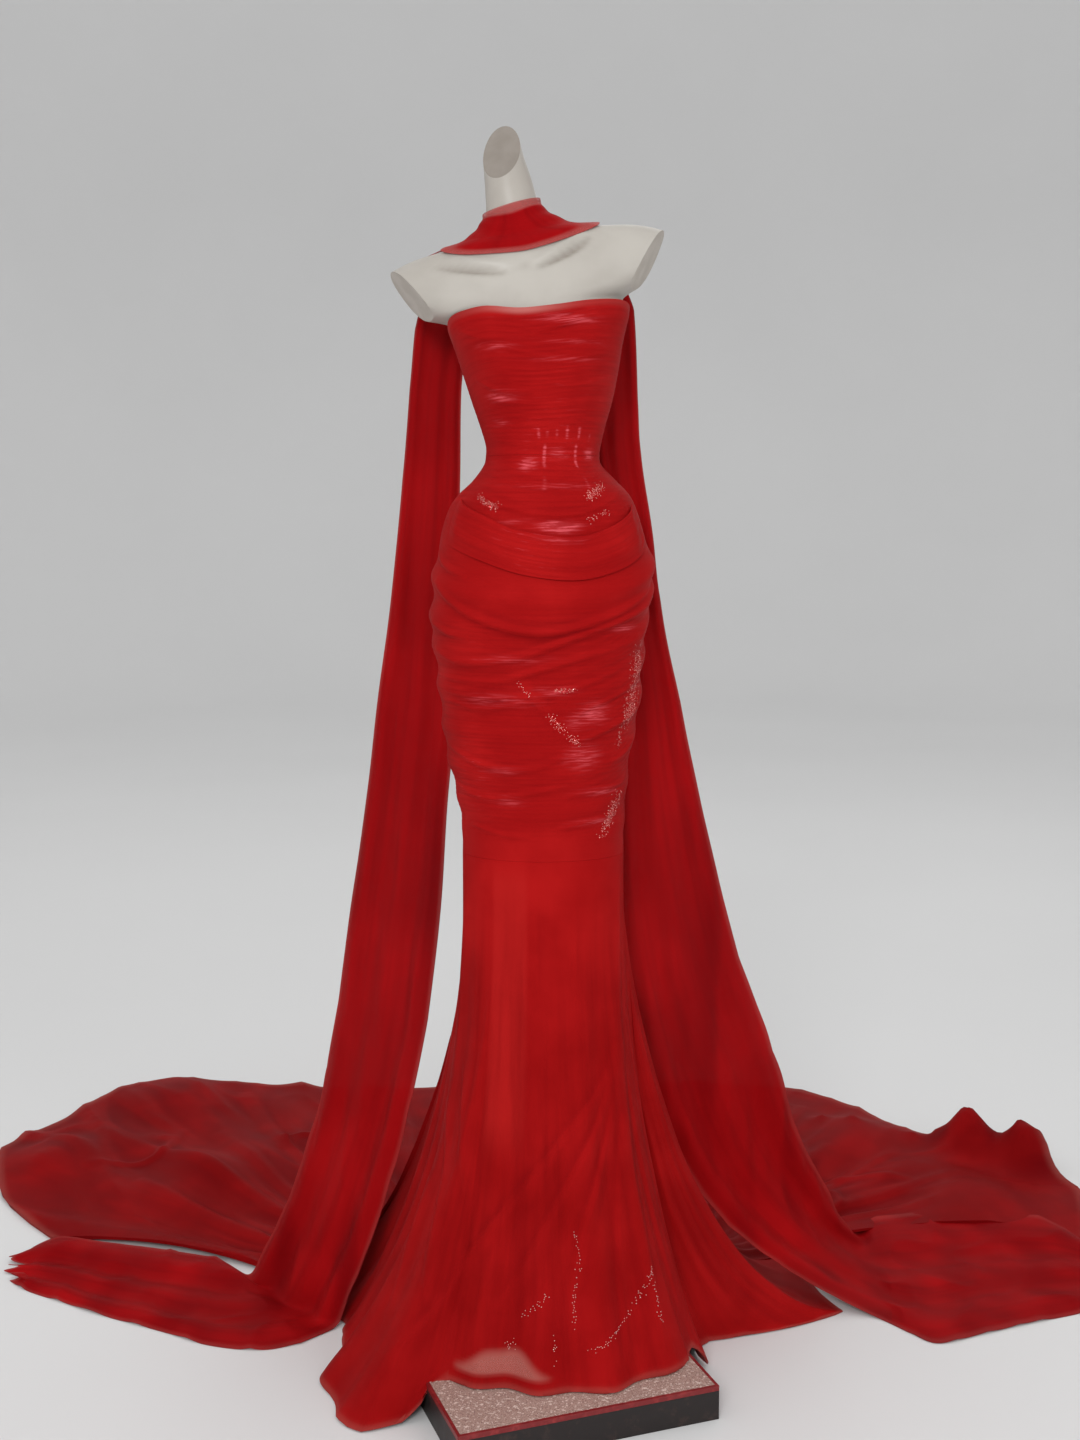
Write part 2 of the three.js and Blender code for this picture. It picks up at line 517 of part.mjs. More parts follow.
// The line that the cloth follows in one direction, from the knee to the hem.
const profiles = new Map();
function profile(phi, spreads) {
  const key = `${phi.toFixed(4)} ${spreads}`;
  if (profiles.has(key)) return profiles.get(key);
  const start = body(phi, KNEE_Z - SEAM_GAP / 2);
  const reach = flareAt.reach(phi);
  const end = polar(phi, reach, flareAt.rest(phi) + CLOTH);
  const points = range(0, 1, 24).map((t) => {
    const across = t ** flareAt.bow(phi);
    const drop = (1 - t) ** flareAt.fall(phi);
    const point = start.clone().lerp(end, across);
    point.z = THREE.MathUtils.lerp(end.z, start.z, drop);
    return point;
  });
  if (spreads) {
    for (const share of range(0, 1, 16).slice(1)) {
      const turned = clamp((share - 0.1) / 0.9, 0, 1) ** 1.4;
      const angle = phi + flareAt.swing(phi) * turned;
      const point = polar(angle, THREE.MathUtils.lerp(reach, flareAt.hem(phi), share), CLOTH);
      point.z += floorLift(point.x, point.y, phi, share);
      points.push(point);
    }
  }
  const lengths = [0];
  for (let i = 1; i < points.length; i += 1) {
    lengths.push(lengths[i - 1] + points[i].distanceTo(points[i - 1]));
  }
  profiles.set(key, { points, lengths });
  return profiles.get(key);
}

// A point of the flare or train by direction and by share of the way from the knee to the hem.
function flareSurface(spreads) {
  return (phi, share) => {
    const { points, lengths } = profile(phi, spreads);
    const total = lengths[lengths.length - 1];
    const way = clamp(share, 0, 1) * total;
    let i = 0;
    while (i < lengths.length - 2 && way > lengths[i + 1]) i += 1;
    const t = (way - lengths[i]) / (lengths[i + 1] - lengths[i]);
    const point = points[i].clone().lerp(points[i + 1], t);
    const open = clamp(1 - point.z / KNEE_Z, 0, 1);
    const fold = spreads ? 9 * Math.cos(rad(phi * 30)) : 9 * Math.cos(rad(phi * 14.4));
    const hanging = clamp(point.z / 120, 0, 1);
    return point.add(polar(phi, fold * open * open * (spreads ? hanging : 1)));
  };
}

function flarePanel(fromPhi, toPhi, columns, rows, spreads) {
  const surface = flareSurface(spreads);
  const [start, end] = seamed(fromPhi, toPhi, girth.front(KNEE_Z));
  const angles = columns.map((share) => THREE.MathUtils.lerp(start, end, share));
  const shares = range(0, 1, rows);
  const keepAbove = (point) => {
    point.z = Math.max(point.z, 0);
    return point;
  };
  const outer = shares.map((share) => angles.map((phi) => keepAbove(surface(phi, share))));
  const inner = shares.map((share) => angles.map((phi) => {
    return keepAbove(movedOut(surface, phi, share, -CLOTH, 0.4, 0.012));
  }));
  return wallGeometry(outer, inner);
}

const shoulderAt = {};
for (const column of ['centre', 'shift', 'half', 'front', 'back', 'tilt']) {
  shoulderAt[column] = curve(SHOULDERS, 'v', column);
}

// The form's surface from the armpits to the neck.
function shoulder(phi, v) {
  const across = Math.sin(rad(phi)) * shoulderAt.half(v);
  const depth = Math.cos(rad(phi)) > 0 ? shoulderAt.front(v) : shoulderAt.back(v);
  const y = shoulderAt.shift(v) - depth * Math.cos(rad(phi));
  return new THREE.Vector3(shoulderAt.centre(v) + across, y, v + across * Math.tan(rad(shoulderAt.tilt(v))));
}

function torsoGeometry() {
  const angles = range(-180, 180, 20).slice(1);
  const tilt = curve(TORSO_TILT, 'v', 'tilt');
  const ringAt = (v, inset) => angles.map((phi) => {
    const across = Math.sin(rad(phi)) * girth.half(v);
    return body(phi, v + across * Math.tan(rad(tilt(v))), -inset);
  });
  const rings = [ringAt(TORSO_FOOT_Z, 34), ringAt(TORSO_FOOT_Z + 10, 14)];
  rings.push(...TORSO_HEIGHTS.map((v) => ringAt(v, FORM_INSET)));
  rings.push(...SHOULDERS.map(({ v }) => angles.map((phi) => shoulder(phi, v))));
  let geometry = loftGeometry(rings);
  for (const plane of [NECK_CUT, LEFT_STUB_CUT, RIGHT_STUB_CUT]) {
    geometry = cut(geometry, beyondPlane(plane));
  }
  return geometry;
}

const wrapFoot = curve(WRAP_FOOT, 'phi', 'v');
const shoulderOut = (phi, v, distance) => movedOut(shoulder, phi, v, distance, 1, -1);

function wrapPoint(phi, share, distance) {
  const v = THREE.MathUtils.lerp(wrapFoot(phi), WRAP_TOP_V, share);
  const fold = distance > SCARF_CLEARANCE ? 2 * Math.sin(Math.PI * share * 3) ** 2 : 0;
  return shoulderOut(phi, v, distance + fold);
}

function wrapGeometry() {
  const back = range(LEFT_FALL_PHI.inner, LEFT_FALL_PHI.outer, 6);
  const front = [-122, -104, -88, -70, -52, -38, -25, -13, 0, 13, 25, 38, 52, 70, 88, 104, 122];
  const angles = [-180, ...back, ...front, ...back.map((phi) => -phi).reverse()];
  const layer = (distance) => range(0, 1, 6).map((share) => {
    return angles.map((phi) => wrapPoint(phi, share, distance));
  });
  return wallGeometry(layer(SCARF_CLEARANCE + SCARF_WALL), layer(SCARF_CLEARANCE), true);
}

// A fall's points: its top row meets the wrap's lower edge, and its foot stands on the floor.
// Its front faces the body at the top and turns outwards on the way down.
function fallGrids(table, phis, side) {
  const columns = 2 * FALL_FOLD.waves;
  const angles = range(phis.outer, phis.inner, columns);
  const topRow = (distance) => angles.map((phi) => {
    const edge = wrapPoint(phi, 0, distance);
    const down = edge.clone().sub(wrapPoint(phi, 0.05, distance)).normalize();
    return edge.addScaledVector(down, SEAM_GAP);
  });
  const front = [topRow(SCARF_CLEARANCE)];
  const rear = [topRow(SCARF_CLEARANCE + SCARF_WALL)];
  table.forEach((row, i) => {
    const across = new THREE.Vector3(row.innerX - row.outerX, row.innerY - row.outerY, 0);
    const normal = new THREE.Vector3(-across.y, across.x, 0).normalize().multiplyScalar(side);
    const share = i / (table.length - 1);
    const depth = THREE.MathUtils.lerp(FALL_FOLD.top, FALL_FOLD.foot, share);
    const points = range(0, 1, columns).map((t, j) => {
      const point = new THREE.Vector3(row.outerX, row.outerY, row.z).addScaledVector(across, t);
      return point.addScaledVector(normal, j % 2 === 1 ? depth : 0);
    });
    front.push(points);
    rear.push(points.map((point) => point.clone().addScaledVector(normal, -SCARF_WALL)));
  });
  return { front, rear };
}

// A tail starts in front of its fall's foot and lies on the floor in soft ridges.
function tailGeometry(table, { front, rear }) {
  const foot = front[front.length - 1];
  const footBack = rear[rear.length - 1];
  const upper = [foot.map((point, j) => {
    const ahead = point.clone().sub(footBack[j]).setLength(TAIL.clearance);
    return new THREE.Vector3(point.x + ahead.x, point.y + ahead.y, SCARF_WALL);
  })];
  const columns = foot.length - 1;
  for (const row of table) {
    upper.push(range(0, 1, columns).map((t, j) => {
      const x = THREE.MathUtils.lerp(row.farX, row.nearX, t);
      const y = THREE.MathUtils.lerp(row.farY, row.nearY, t);
      return new THREE.Vector3(x, y, SCARF_WALL + (j % 2 === 1 ? TAIL.ridge : 0));
    }));
  }
  const lower = upper.map((row) => row.map((point) => {
    return new THREE.Vector3(point.x, point.y, point.z - SCARF_WALL);
  }));
  return wallGeometry(upper, lower);
}

function plinthOutline(width, depth) {
  const shape = new THREE.Shape();
  shape.moveTo(-width / 2, -depth / 2);
  shape.lineTo(width / 2, -depth / 2);
  shape.lineTo(width / 2, depth / 2);
  shape.lineTo(-width / 2, depth / 2);
  shape.closePath();
  return shape;
}

function placedOnPlinth(geometry, z) {
  geometry.rotateZ(rad(PLINTH.turn));
  geometry.translate(PLINTH.x, PLINTH.y, z);
  return geometry;
}

function plinthBlock(width, depth, height, z) {
  const flat = { depth: height, bevelEnabled: false };
  return placedOnPlinth(new THREE.ExtrudeGeometry(plinthOutline(width, depth), flat), z);
}

function plinthTrim() {
  const outline = plinthOutline(PLINTH.width, PLINTH.depth);
  outline.holes.push(plinthOutline(PLINTH.width - 2 * PLINTH.trimWidth, PLINTH.depth - 2 * PLINTH.trimWidth));
  const flat = { depth: PLINTH.plateHeight, bevelEnabled: false };
  return placedOnPlinth(new THREE.ExtrudeGeometry(outline, flat), PLINTH.boardHeight + SEAM_GAP);
}

function upright(radius, fromZ, toZ) {
  const geometry = new THREE.CylinderGeometry(radius, radius, toZ - fromZ, 24);
  geometry.rotateX(Math.PI / 2);
  geometry.translate(0, 0, (fromZ + toZ) / 2);
  return geometry;
}

const part = new THREE.Group();
function add(name, geometry, material) {
  const mesh = new THREE.Mesh(geometry, material);
  mesh.name = name;
  part.add(mesh);
}

// The form, its pole and the plinth
const flangeTop = PLINTH_TOP + SEAM_GAP + FLANGE.height;
const insetPlate = 2 * PLINTH.trimWidth + 2 * SEAM_GAP;
add('form_torso', torsoGeometry(), formGloss);
add('form_pole', upright(POLE_RADIUS, flangeTop + SEAM_GAP, TORSO_FOOT_Z - SEAM_GAP), poleSteel);
add('form_flange', upright(FLANGE.radius, PLINTH_TOP + SEAM_GAP, flangeTop), poleSteel);
add('plinth_board', plinthBlock(PLINTH.width, PLINTH.depth, PLINTH.boardHeight, 0), boardPaint);
add('plinth_plate', plinthBlock(
  PLINTH.width - insetPlate, PLINTH.depth - insetPlate, PLINTH.plateHeight, PLINTH.boardHeight + SEAM_GAP,
), plateStone);
add('plinth_trim', plinthTrim(), trimPaint);

// The dress: bodice, skirt and cowl
const backSides = [['left', -180, -90], ['right', 90, 180]];
add('bodice_front', bodicePanel(-90, 90, 10, 34), tulle);
for (const [side, from, to] of backSides) {
  add(`bodice_back_${side}`, bodicePanel(from, to, 5, 18), tulle);
  add(`skirt_back_${side}`, skirtPanel(from, to, 5, 24), tulle);
}
add('skirt_front', skirtPanel(-90, 90, 10, 30), tulle);
add('skirt_cowl', cowlGeometry(), tulle);

// The flare stands on the plinth's plate in front and on the floor at its sides; the train lies behind.
const plinthTool = toManifold(plinthBlock(
  PLINTH.width + 2 * SEAM_GAP, PLINTH.depth + 2 * SEAM_GAP, PLINTH_TOP + SEAM_GAP + 1, -1,
));
const even = (count) => range(0, 1, count);
const flarePieces = [
  ['flare_front', FLARE_LEFT_PHI, FLARE_RIGHT_PHI, even(16), 11, false],
  ['flare_left', TRAIN_LEFT_PHI, FLARE_LEFT_PHI, even(14), 11, false],
  ['flare_right', FLARE_RIGHT_PHI, TRAIN_RIGHT_PHI, even(16), 11, false],
  ['train_left', -180, TRAIN_LEFT_PHI, even(16), 17, true],
  ['train_right', TRAIN_RIGHT_PHI, 180, even(16), 17, true],
];
for (const [name, from, to, columns, rows, spreads] of flarePieces) {
  add(name, cut(flarePanel(from, to, columns, rows, spreads), plinthTool), tulle);
}

// The scarf: wrapped round the neck, falling behind both shoulders and trailing on the floor
const leftFall = fallGrids(LEFT_FALL, LEFT_FALL_PHI, -1);
const rightFall = fallGrids(RIGHT_FALL, RIGHT_FALL_PHI, 1);
add('scarf_neck', wrapGeometry(), scarfTulle);
add('scarf_left_fall', wallGeometry(leftFall.front, leftFall.rear), scarfTulle);
add('scarf_right_fall', wallGeometry(rightFall.front, rightFall.rear), scarfTulle);
add('scarf_left_tail', tailGeometry(LEFT_TAIL, leftFall), scarfTulle);
add('scarf_right_tail', tailGeometry(RIGHT_TAIL, rightFall), scarfTulle);

export default part;
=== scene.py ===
# Mermaid evening dress and its scarf on a limbless dress form: the cloth, its finishes and the studio.
# Sizes are in millimetres until a mesh is made, and the front faces -Y, as in the part's source.
# Angles are in degrees round the form's axis: 0 is the front, 90 the right and 180 the back.
import bmesh
import bpy
import math
import numpy as np
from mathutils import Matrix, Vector


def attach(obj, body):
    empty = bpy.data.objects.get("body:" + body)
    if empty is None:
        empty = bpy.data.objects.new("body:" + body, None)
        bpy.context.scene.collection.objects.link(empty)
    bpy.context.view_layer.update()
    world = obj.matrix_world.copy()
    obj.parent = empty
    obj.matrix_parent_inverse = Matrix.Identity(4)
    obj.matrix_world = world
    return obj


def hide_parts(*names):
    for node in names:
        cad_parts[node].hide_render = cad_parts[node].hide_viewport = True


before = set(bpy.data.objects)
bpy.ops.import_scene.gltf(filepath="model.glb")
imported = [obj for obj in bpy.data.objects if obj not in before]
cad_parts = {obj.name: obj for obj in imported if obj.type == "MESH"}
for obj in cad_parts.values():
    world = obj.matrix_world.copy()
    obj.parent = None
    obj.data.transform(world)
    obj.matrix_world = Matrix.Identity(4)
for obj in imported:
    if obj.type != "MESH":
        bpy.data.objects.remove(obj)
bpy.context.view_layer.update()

MM = 0.001
CLOTH = 1.4
SEAM_GAP = 0.3
SEAM_TURN = 0.008
FORM_INSET = 4.5
WAIST_Z = 1487
WAIST_RADIUS = 89
HIP_Z = 1300
HIP_HEIGHT = 80
KNEE_Z = 857
TORSO_FOOT_Z = 930
SCARF_CLEARANCE = 2.4
SCARF_WALL = 1.2
CUP = {"angle": 34, "spread": 24, "z": 1622, "height": 52, "rise": 8}
NECK_CUT = ((-60, 0, 1939), (-0.364, -0.766, 0.53))
LEFT_STUB_CUT = ((-193, 0, 1722), (-0.77, -0.24, -0.58))
RIGHT_STUB_CUT = ((163, 0, 1776), (0.89, -0.22, -0.41))
ROUNDED_CUT = {"width": 0.0025, "segments": 3, "angle": 40}
PLINTH = {"width": 425, "depth": 560, "x": -17, "y": -25, "turn": 20, "top": 55}
TRAIN_LEFT_PHI = -120
TRAIN_RIGHT_PHI = 128
WRAP_TOP_V = 1868

# The train: how far its hem's corners are rounded and between which angles, and the net that lies in
# one degree and in its whole length, for its crumples. The flare: the sheer patch at its front hem, and
# the angles at which the paler strip down its front begins and ends.
HEM_ROUNDING = (3.2, 131, 140)
TRAIN_SPREAD = (17, 620)
SHEER_PATCH = {"angle": -15, "top": 0.918, "foot": (0.966, 0.978), "sides": (17, 21)}
PALER_STRIP = ((-39, -35), (-14, -9))

# How finely each piece is made: steps along it and across it. The inner wall's steps are coarser.
ROWS = {
    "bodice": 116, "cowl": 56, "flare": 160, "train": 280, "wrap": 56, "fall": 190, "tail": 75,
    "bridge": 13,
}
COLUMNS = {"cowl": 160, "train": 148, "wrap": 260, "fall": 84, "torso": 120}
INNER_STEP = 4
CREASE_ANGLE = 70

# Sequins and crystals: pitch and size in metres, how far they lean, and how weak a band's edge may be
SEQUINS = {"pitch": 0.0015, "size": 0.00075, "crystal": False, "seed": 7}
CRYSTALS = {"pitch": 0.0026, "size": 0.0007, "crystal": True, "seed": 11}
SCATTER_TILT = 0.42
BAND_EDGE = 0.03

# Finishes: how far apart the net's threads lie in metres, their share, and where a cloud begins and ends
NET_PITCH = 0.0021
THREAD_SHARE = 0.18
CLOUD_EDGES = (0.35, 0.7)

# The studio in metres: the camera of the photograph, and lights by name, place, width and power
CAMERA = {"place": (0.0, -2.70, 1.42), "pitch": -7.4, "lens": 42.5, "sensor": 36.0}
LIGHTS = [
    ("key", (-1.2, -6.2, 4.0), 2.4, 215), ("fill", (2.8, -3.4, 2.4), 2.6, 25),
    ("back", (0.8, 4.2, 4.0), 3.0, 20),
]
LIT_PLACE = (0, 0, 0.9)
SKY_STRENGTH = 0.85
FLOOR_RADIUS = 9.0
WALL_BEND = 4

# The dress round the body: height, centre, half width, front depth and back depth.
BODY = np.array([
    (857, 5, 130, 92, 96), (903, 5, 129, 94, 98), (974, 1, 137, 100, 104), (1021, -2, 145, 103, 108),
    (1103, 0, 157, 107, 116), (1150, -1, 160, 109, 122), (1209, -2, 167, 111, 130),
    (1260, 2, 170, 113, 134), (1318, 6, 168, 113, 130), (1364, 4, 160, 110, 122),
    (1405, 4, 147, 104, 110), (1427, 6, 134, 99, 103), (1448, 7, 113, 92, 94), (1473, 4, 92, 84, 85),
    (1487, 4, 89, 82, 82), (1503, 5, 90, 82, 82), (1534, 4, 98, 87, 85), (1569, 3, 109, 98, 89),
    (1618, 0, 122, 109, 95), (1658, -4, 132, 110, 98), (1680, -8, 141, 109, 98),
    (1702, -9, 147, 106, 98), (1730, -9, 149, 100, 96),
], float)

# The bodice's upper edge: angle and height.
BODICE_TOP = np.array([
    (-180, 1672), (-135, 1660), (-100, 1648), (-90, 1651), (-76, 1672), (-66, 1690), (-57, 1698),
    (-46, 1703), (-30, 1708), (-8, 1704), (12, 1709), (35, 1718), (60, 1722), (78, 1719), (92, 1711),
    (135, 1690), (180, 1672),
], float)

# Swags gathered across the skirt: heights at the left side, the middle and the right side, and the rise.
SWAGS = [
    (1302, 1268, 1322, 7), (1240, 1222, 1280, 6), (1190, 1166, 1232, 4), (1128, 1118, 1176, 5),
    (1062, 1060, 1118, 4), (1004, 996, 1048, 4), (946, 936, 976, 3), (896, 888, 914, 2),
]
SWAG_WIDTH = 34

# The cowl over the hips: angle, upper edge and lower edge.
COWL = np.array([
    (-64, 1420, 1352), (-38, 1398, 1330), (-10, 1372, 1306), (18, 1364, 1298), (42, 1380, 1312),
    (70, 1410, 1340),
], float)

# The flare and train, by angle: where the cloth meets its rest, the train's hem, its swing on the floor,
# how the cloth falls and bows on the way, and the height that it rests at.
FLARE = {
    "reach": [
        (-180, 600), (-168, 600), (-156, 590), (-144, 580), (-134, 570), (-128, 560), (-124, 552),
        (-120, 545), (-112, 420), (-105, 345), (-98, 332), (-88, 342), (-72, 366), (-56, 382), (-47, 368),
        (-42, 318), (-38, 256), (-28, 243), (-14, 239), (2, 243), (18, 255), (36, 263), (50, 269),
        (60, 282), (70, 262), (79, 278), (90, 270), (96, 285), (100, 430), (104, 545), (116, 558),
        (128, 560), (131, 562), (135, 565), (141, 570), (150, 580), (156, 590), (168, 600), (180, 600),
    ],
    "hem": [
        (-180, 1290), (-168, 1300), (-156, 1390), (-144, 1630), (-134, 1530), (-128, 1483), (-124, 1260),
        (-120, 1036), (128, 1140), (131, 1308), (135, 1345), (141, 1240), (150, 1390), (156, 1420),
        (168, 1330), (180, 1290),
    ],
    "swing": [
        (-134, 0), (-128, 1.2), (-124, 4.6), (-120, 5.5), (-112, 0), (116, 0), (128, -16.4), (131, -10),
        (135, -5), (141, -2), (150, -1), (156, 0),
    ],
    "fall": [
        (-120, 1.7), (-112, 1.4), (-105, 1.1), (-98, 1), (90, 1), (96, 1.1), (100, 1.5), (104, 1.7),
    ],
    "bow": [
        (-120, 1.6), (-112, 1.8), (-105, 2), (-98, 2.7), (-88, 3), (-72, 3.2), (-56, 3.1), (-47, 2.9),
        (-42, 2.6), (-38, 2.4), (70, 2.4), (79, 2.3), (90, 2.3), (96, 2.2), (100, 1.8), (104, 1.6),
    ],
    "rest": [(-47, 0), (-42, 4), (-38, 54), (-28, 55), (70, 55), (79, 2), (90, 0)],
}

# Places where the cloth on the floor rises in a heap: x, y, rise and spread.
HEAPS = [
    (-700, 720, 34, 130), (-1010, 830, 30, 110), (-870, 1180, 30, 130), (700, 900, 30, 140),
    (935, 860, 66, 62), (1040, 800, 62, 58), (880, 600, 30, 110),
]

# Crushed points on those heaps: x, y, rise and spread.
PEAKS = [
    (932, 862, 40, 24), (880, 890, 12, 16), (1034, 804, 36, 22), (1064, 792, 14, 18),
    (820, 905, 16, 28), (640, 1010, 18, 30), (-560, 900, 16, 40), (-830, 900, 14, 36),
    (-1060, 760, 16, 40), (700, 960, 18, 26),
]

# The form's shoulders and neck: height of the middle, centre, shift, half width, front, back and tilt.
SHOULDERS = np.array([
    (1690, -4, 0, 129, 97, 91, 7), (1700, -6, 0, 134, 95, 90, 7.5), (1710, -8, 1, 139, 91, 88, 8.5),
    (1724, -11, 2, 174, 86, 86, 9), (1745, -18, 5, 216, 79, 79, 8.4), (1770, -22, 7, 238, 70, 71, 8),
    (1789, -23, 9, 232, 62, 64, 8.6), (1802, -24, 11, 207, 58, 60, 9),
    (1813, -27, 12, 172, 54, 56, 9.2), (1818, -31, 13, 132, 51, 52, 9.4),
    (1823, -35, 14, 97, 48, 49, 9.8), (1834, -38, 15, 70, 45, 46, 11.5),
    (1851, -42, 15, 48, 42, 43, 13.5), (1868, -44, 15, 40, 39, 41, 16.5),
    (1900, -49, 14, 35.5, 37, 39, 18), (1935, -56, 10, 31, 35, 37, 16), (1975, -63, 6, 28, 33, 35, 14),
    (2015, -70, 2, 27, 32, 34, 12),
], float)
TORSO_TILT = np.array([
    (1600, 0), (1640, 4), (1672, 6.2), (1690, 7),
], float)

# The scarf's wrap: angle and its lower edge on the shoulders.
WRAP_FOOT = np.array([
    (-180, 1808), (-155, 1804), (-130, 1808), (-90, 1820), (-62, 1818), (-48, 1814), (-36, 1808),
    (-24, 1801), (-9, 1795), (0, 1793), (8, 1796), (24, 1805), (36, 1811), (49, 1815), (75, 1819),
    (100, 1820), (130, 1812), (155, 1806), (180, 1808),
], float)
LEFT_FALL_PHI = (-140, -170)
RIGHT_FALL_PHI = (140, 170)

# Each fall behind a shoulder: height, outer edge x and y, inner edge x and y.
LEFT_FALL = np.array([
    (1745, -188, 100, -98, 106), (1692, -203, 115, -116, 118), (1600, -213, 123, -128, 118),
    (1451, -227, 130, -131, 118), (1270, -247, 142, -137, 124), (1085, -274, 155, -140, 118),
    (909, -298, 170, -155, 104), (729, -327, 190, -168, 98), (544, -356, 210, -190, 88),
    (417, -380, 224, -215, 78), (342, -398, 234, -234, 70), (235, -430, 247, -264, 62),
    (163, -456, 256, -288, 62), (100, -484, 262, -312, 66), (45, -512, 266, -334, 72),
    (0, -534, 268, -350, 78),
], float)
RIGHT_FALL = np.array([
    (1772, 130, 92, 50, 102), (1724, 152, 110, 80, 116), (1581, 160, 122, 86, 116),
    (1500, 166, 128, 90, 116), (1369, 186, 138, 110, 126), (1253, 202, 146, 122, 134),
    (1075, 239, 158, 126, 130), (853, 289, 182, 122, 126), (622, 350, 214, 140, 136),
    (438, 418, 252, 178, 156), (340, 450, 278, 210, 168), (278, 470, 298, 240, 176),
    (200, 505, 325, 285, 182), (140, 537, 350, 336, 180), (95, 556, 366, 396, 168),
    (48, 584, 404, 478, 146), (0, 614, 458, 588, 117),
], float)
FALL_FOLD = {"top": 2, "foot": 13, "waves": 3}

# Each tail on the floor: near edge x and y, far edge x and y.
LEFT_TAIL = np.array([
    (-405, 22, -580, 286), (-470, 0, -645, 308), (-560, 16, -732, 336), (-655, 66, -800, 353),
    (-772, 124, -866, 368), (-860, 176, -918, 384), (-924, 214, -962, 372), (-962, 256, -986, 346),
], float)
RIGHT_TAIL = np.array([
    (632, 62, 640, 407), (676, 22, 700, 422), (760, 54, 780, 434), (850, 92, 870, 432),
    (940, 126, 955, 420), (1020, 160, 1025, 398), (1090, 206, 1090, 350),
], float)

# How far apart the fine gathers lie, and how far they stand out
GATHER_PITCH = 8.5
GATHER_RISE = 0.6

# Folds laid one by one: places along the fold, its width and its rise. The left of its direction is soft
# and the right is steep. On the skirt and bodice a place is an angle and a height.
BODICE_FOLDS = [
    ([(-4, 1664), (21, 1683), (44, 1700)], 6, 1.8), ([(6, 1674), (24, 1690), (40, 1708)], 5, 1.5),
    ([(-60, 1672), (-38, 1660), (-8, 1652)], 6, 1.3), ([(-44, 1640), (-23, 1645), (9, 1630)], 5, 1.2),
    ([(-4, 1628), (26, 1630), (58, 1640)], 5, 1.2), ([(-58, 1600), (-34, 1582), (-6, 1580)], 6, 1.4),
    ([(-48, 1572), (-30, 1564), (-2, 1562)], 5, 1.3), ([(2, 1592), (30, 1590), (62, 1604)], 5, 1.2),
    ([(-30, 1536), (0, 1531), (34, 1537)], 4, 1), ([(-52, 1508), (-15, 1502), (40, 1508)], 4, 1),
    ([(120, 1640), (150, 1632), (178, 1636)], 6, 1.4),
    ([(-172, 1610), (-140, 1602), (-112, 1614)], 6, 1.4),
    ([(112, 1582), (146, 1570), (176, 1574)], 5, 1.3),
    ([(-170, 1548), (-138, 1540), (-108, 1548)], 5, 1.2),
]
SKIRT_FOLDS = [
    ([(-70, 1446), (-42, 1424), (-15, 1403), (4, 1396), (24, 1399), (50, 1420), (72, 1440)], 6, 2.2),
    ([(-62, 1466), (-30, 1448), (2, 1440), (40, 1452), (68, 1468)], 5, 1.6),
    ([(-74, 1296), (-58, 1266), (-31, 1235), (0, 1216), (28, 1232), (62, 1266), (80, 1290)], 9, 4.2),
    ([(-76, 1186), (-48, 1169), (-13, 1178), (21, 1210), (60, 1244), (80, 1258)], 8, 3.4),
    ([(-70, 1142), (-26, 1141), (0, 1159), (28, 1181), (68, 1205)], 7, 2.8),
    ([(-60, 1120), (-34, 1116), (-8, 1118), (14, 1127), (43, 1152), (70, 1178)], 6, 2.4),
    ([(-12, 1142), (-4, 1118), (8, 1078), (22, 1046)], 11, 1.3),
    ([(20, 1042), (41, 1062), (69, 1087), (82, 1100)], 8, 2.8),
    ([(-76, 1104), (-62, 1106), (-35, 1096), (-11, 1108), (4, 1112)], 6, 2.2),
    ([(-80, 1042), (-71, 1033), (-30, 1005), (-4, 1006), (16, 1022)], 7, 2.6),
    ([(-80, 972), (-60, 962), (-34, 956), (-1, 968), (18, 980)], 6, 2.2),
    ([(14, 956), (25, 964), (60, 972), (80, 984)], 6, 2.4), ([(10, 906), (22, 914), (64, 928)], 6, 2.2),
    ([(-60, 910), (-29, 898), (-8, 897)], 5, 1.8),
    ([(18, 1080), (30, 1100), (52, 1120), (74, 1140)], 6, 2),
    ([(-78, 1230), (-58, 1214), (-40, 1206)], 8, 3), ([(-84, 1340), (-66, 1318), (-44, 1300)], 8, 2.6),
    ([(46, 1320), (64, 1340), (84, 1366)], 8, 2.6), ([(50, 1010), (66, 1024), (84, 1046)], 6, 2.2),
]
SKIRT_BACK_FOLDS = [
    ([(258, 1402), (220, 1376), (182, 1366), (146, 1378), (104, 1406)], 9, 3.4),
    ([(262, 1296), (226, 1262), (190, 1246), (150, 1256), (102, 1290)], 9, 3.8),
    ([(256, 1212), (216, 1196), (176, 1204), (128, 1234)], 8, 3.2),
    ([(262, 1130), (222, 1104), (182, 1098), (136, 1112), (100, 1140)], 8, 3.2),
    ([(250, 1040), (206, 1022), (160, 1026), (112, 1046)], 7, 2.6),
    ([(258, 966), (214, 948), (170, 946), (120, 962)], 6, 2.2),
]
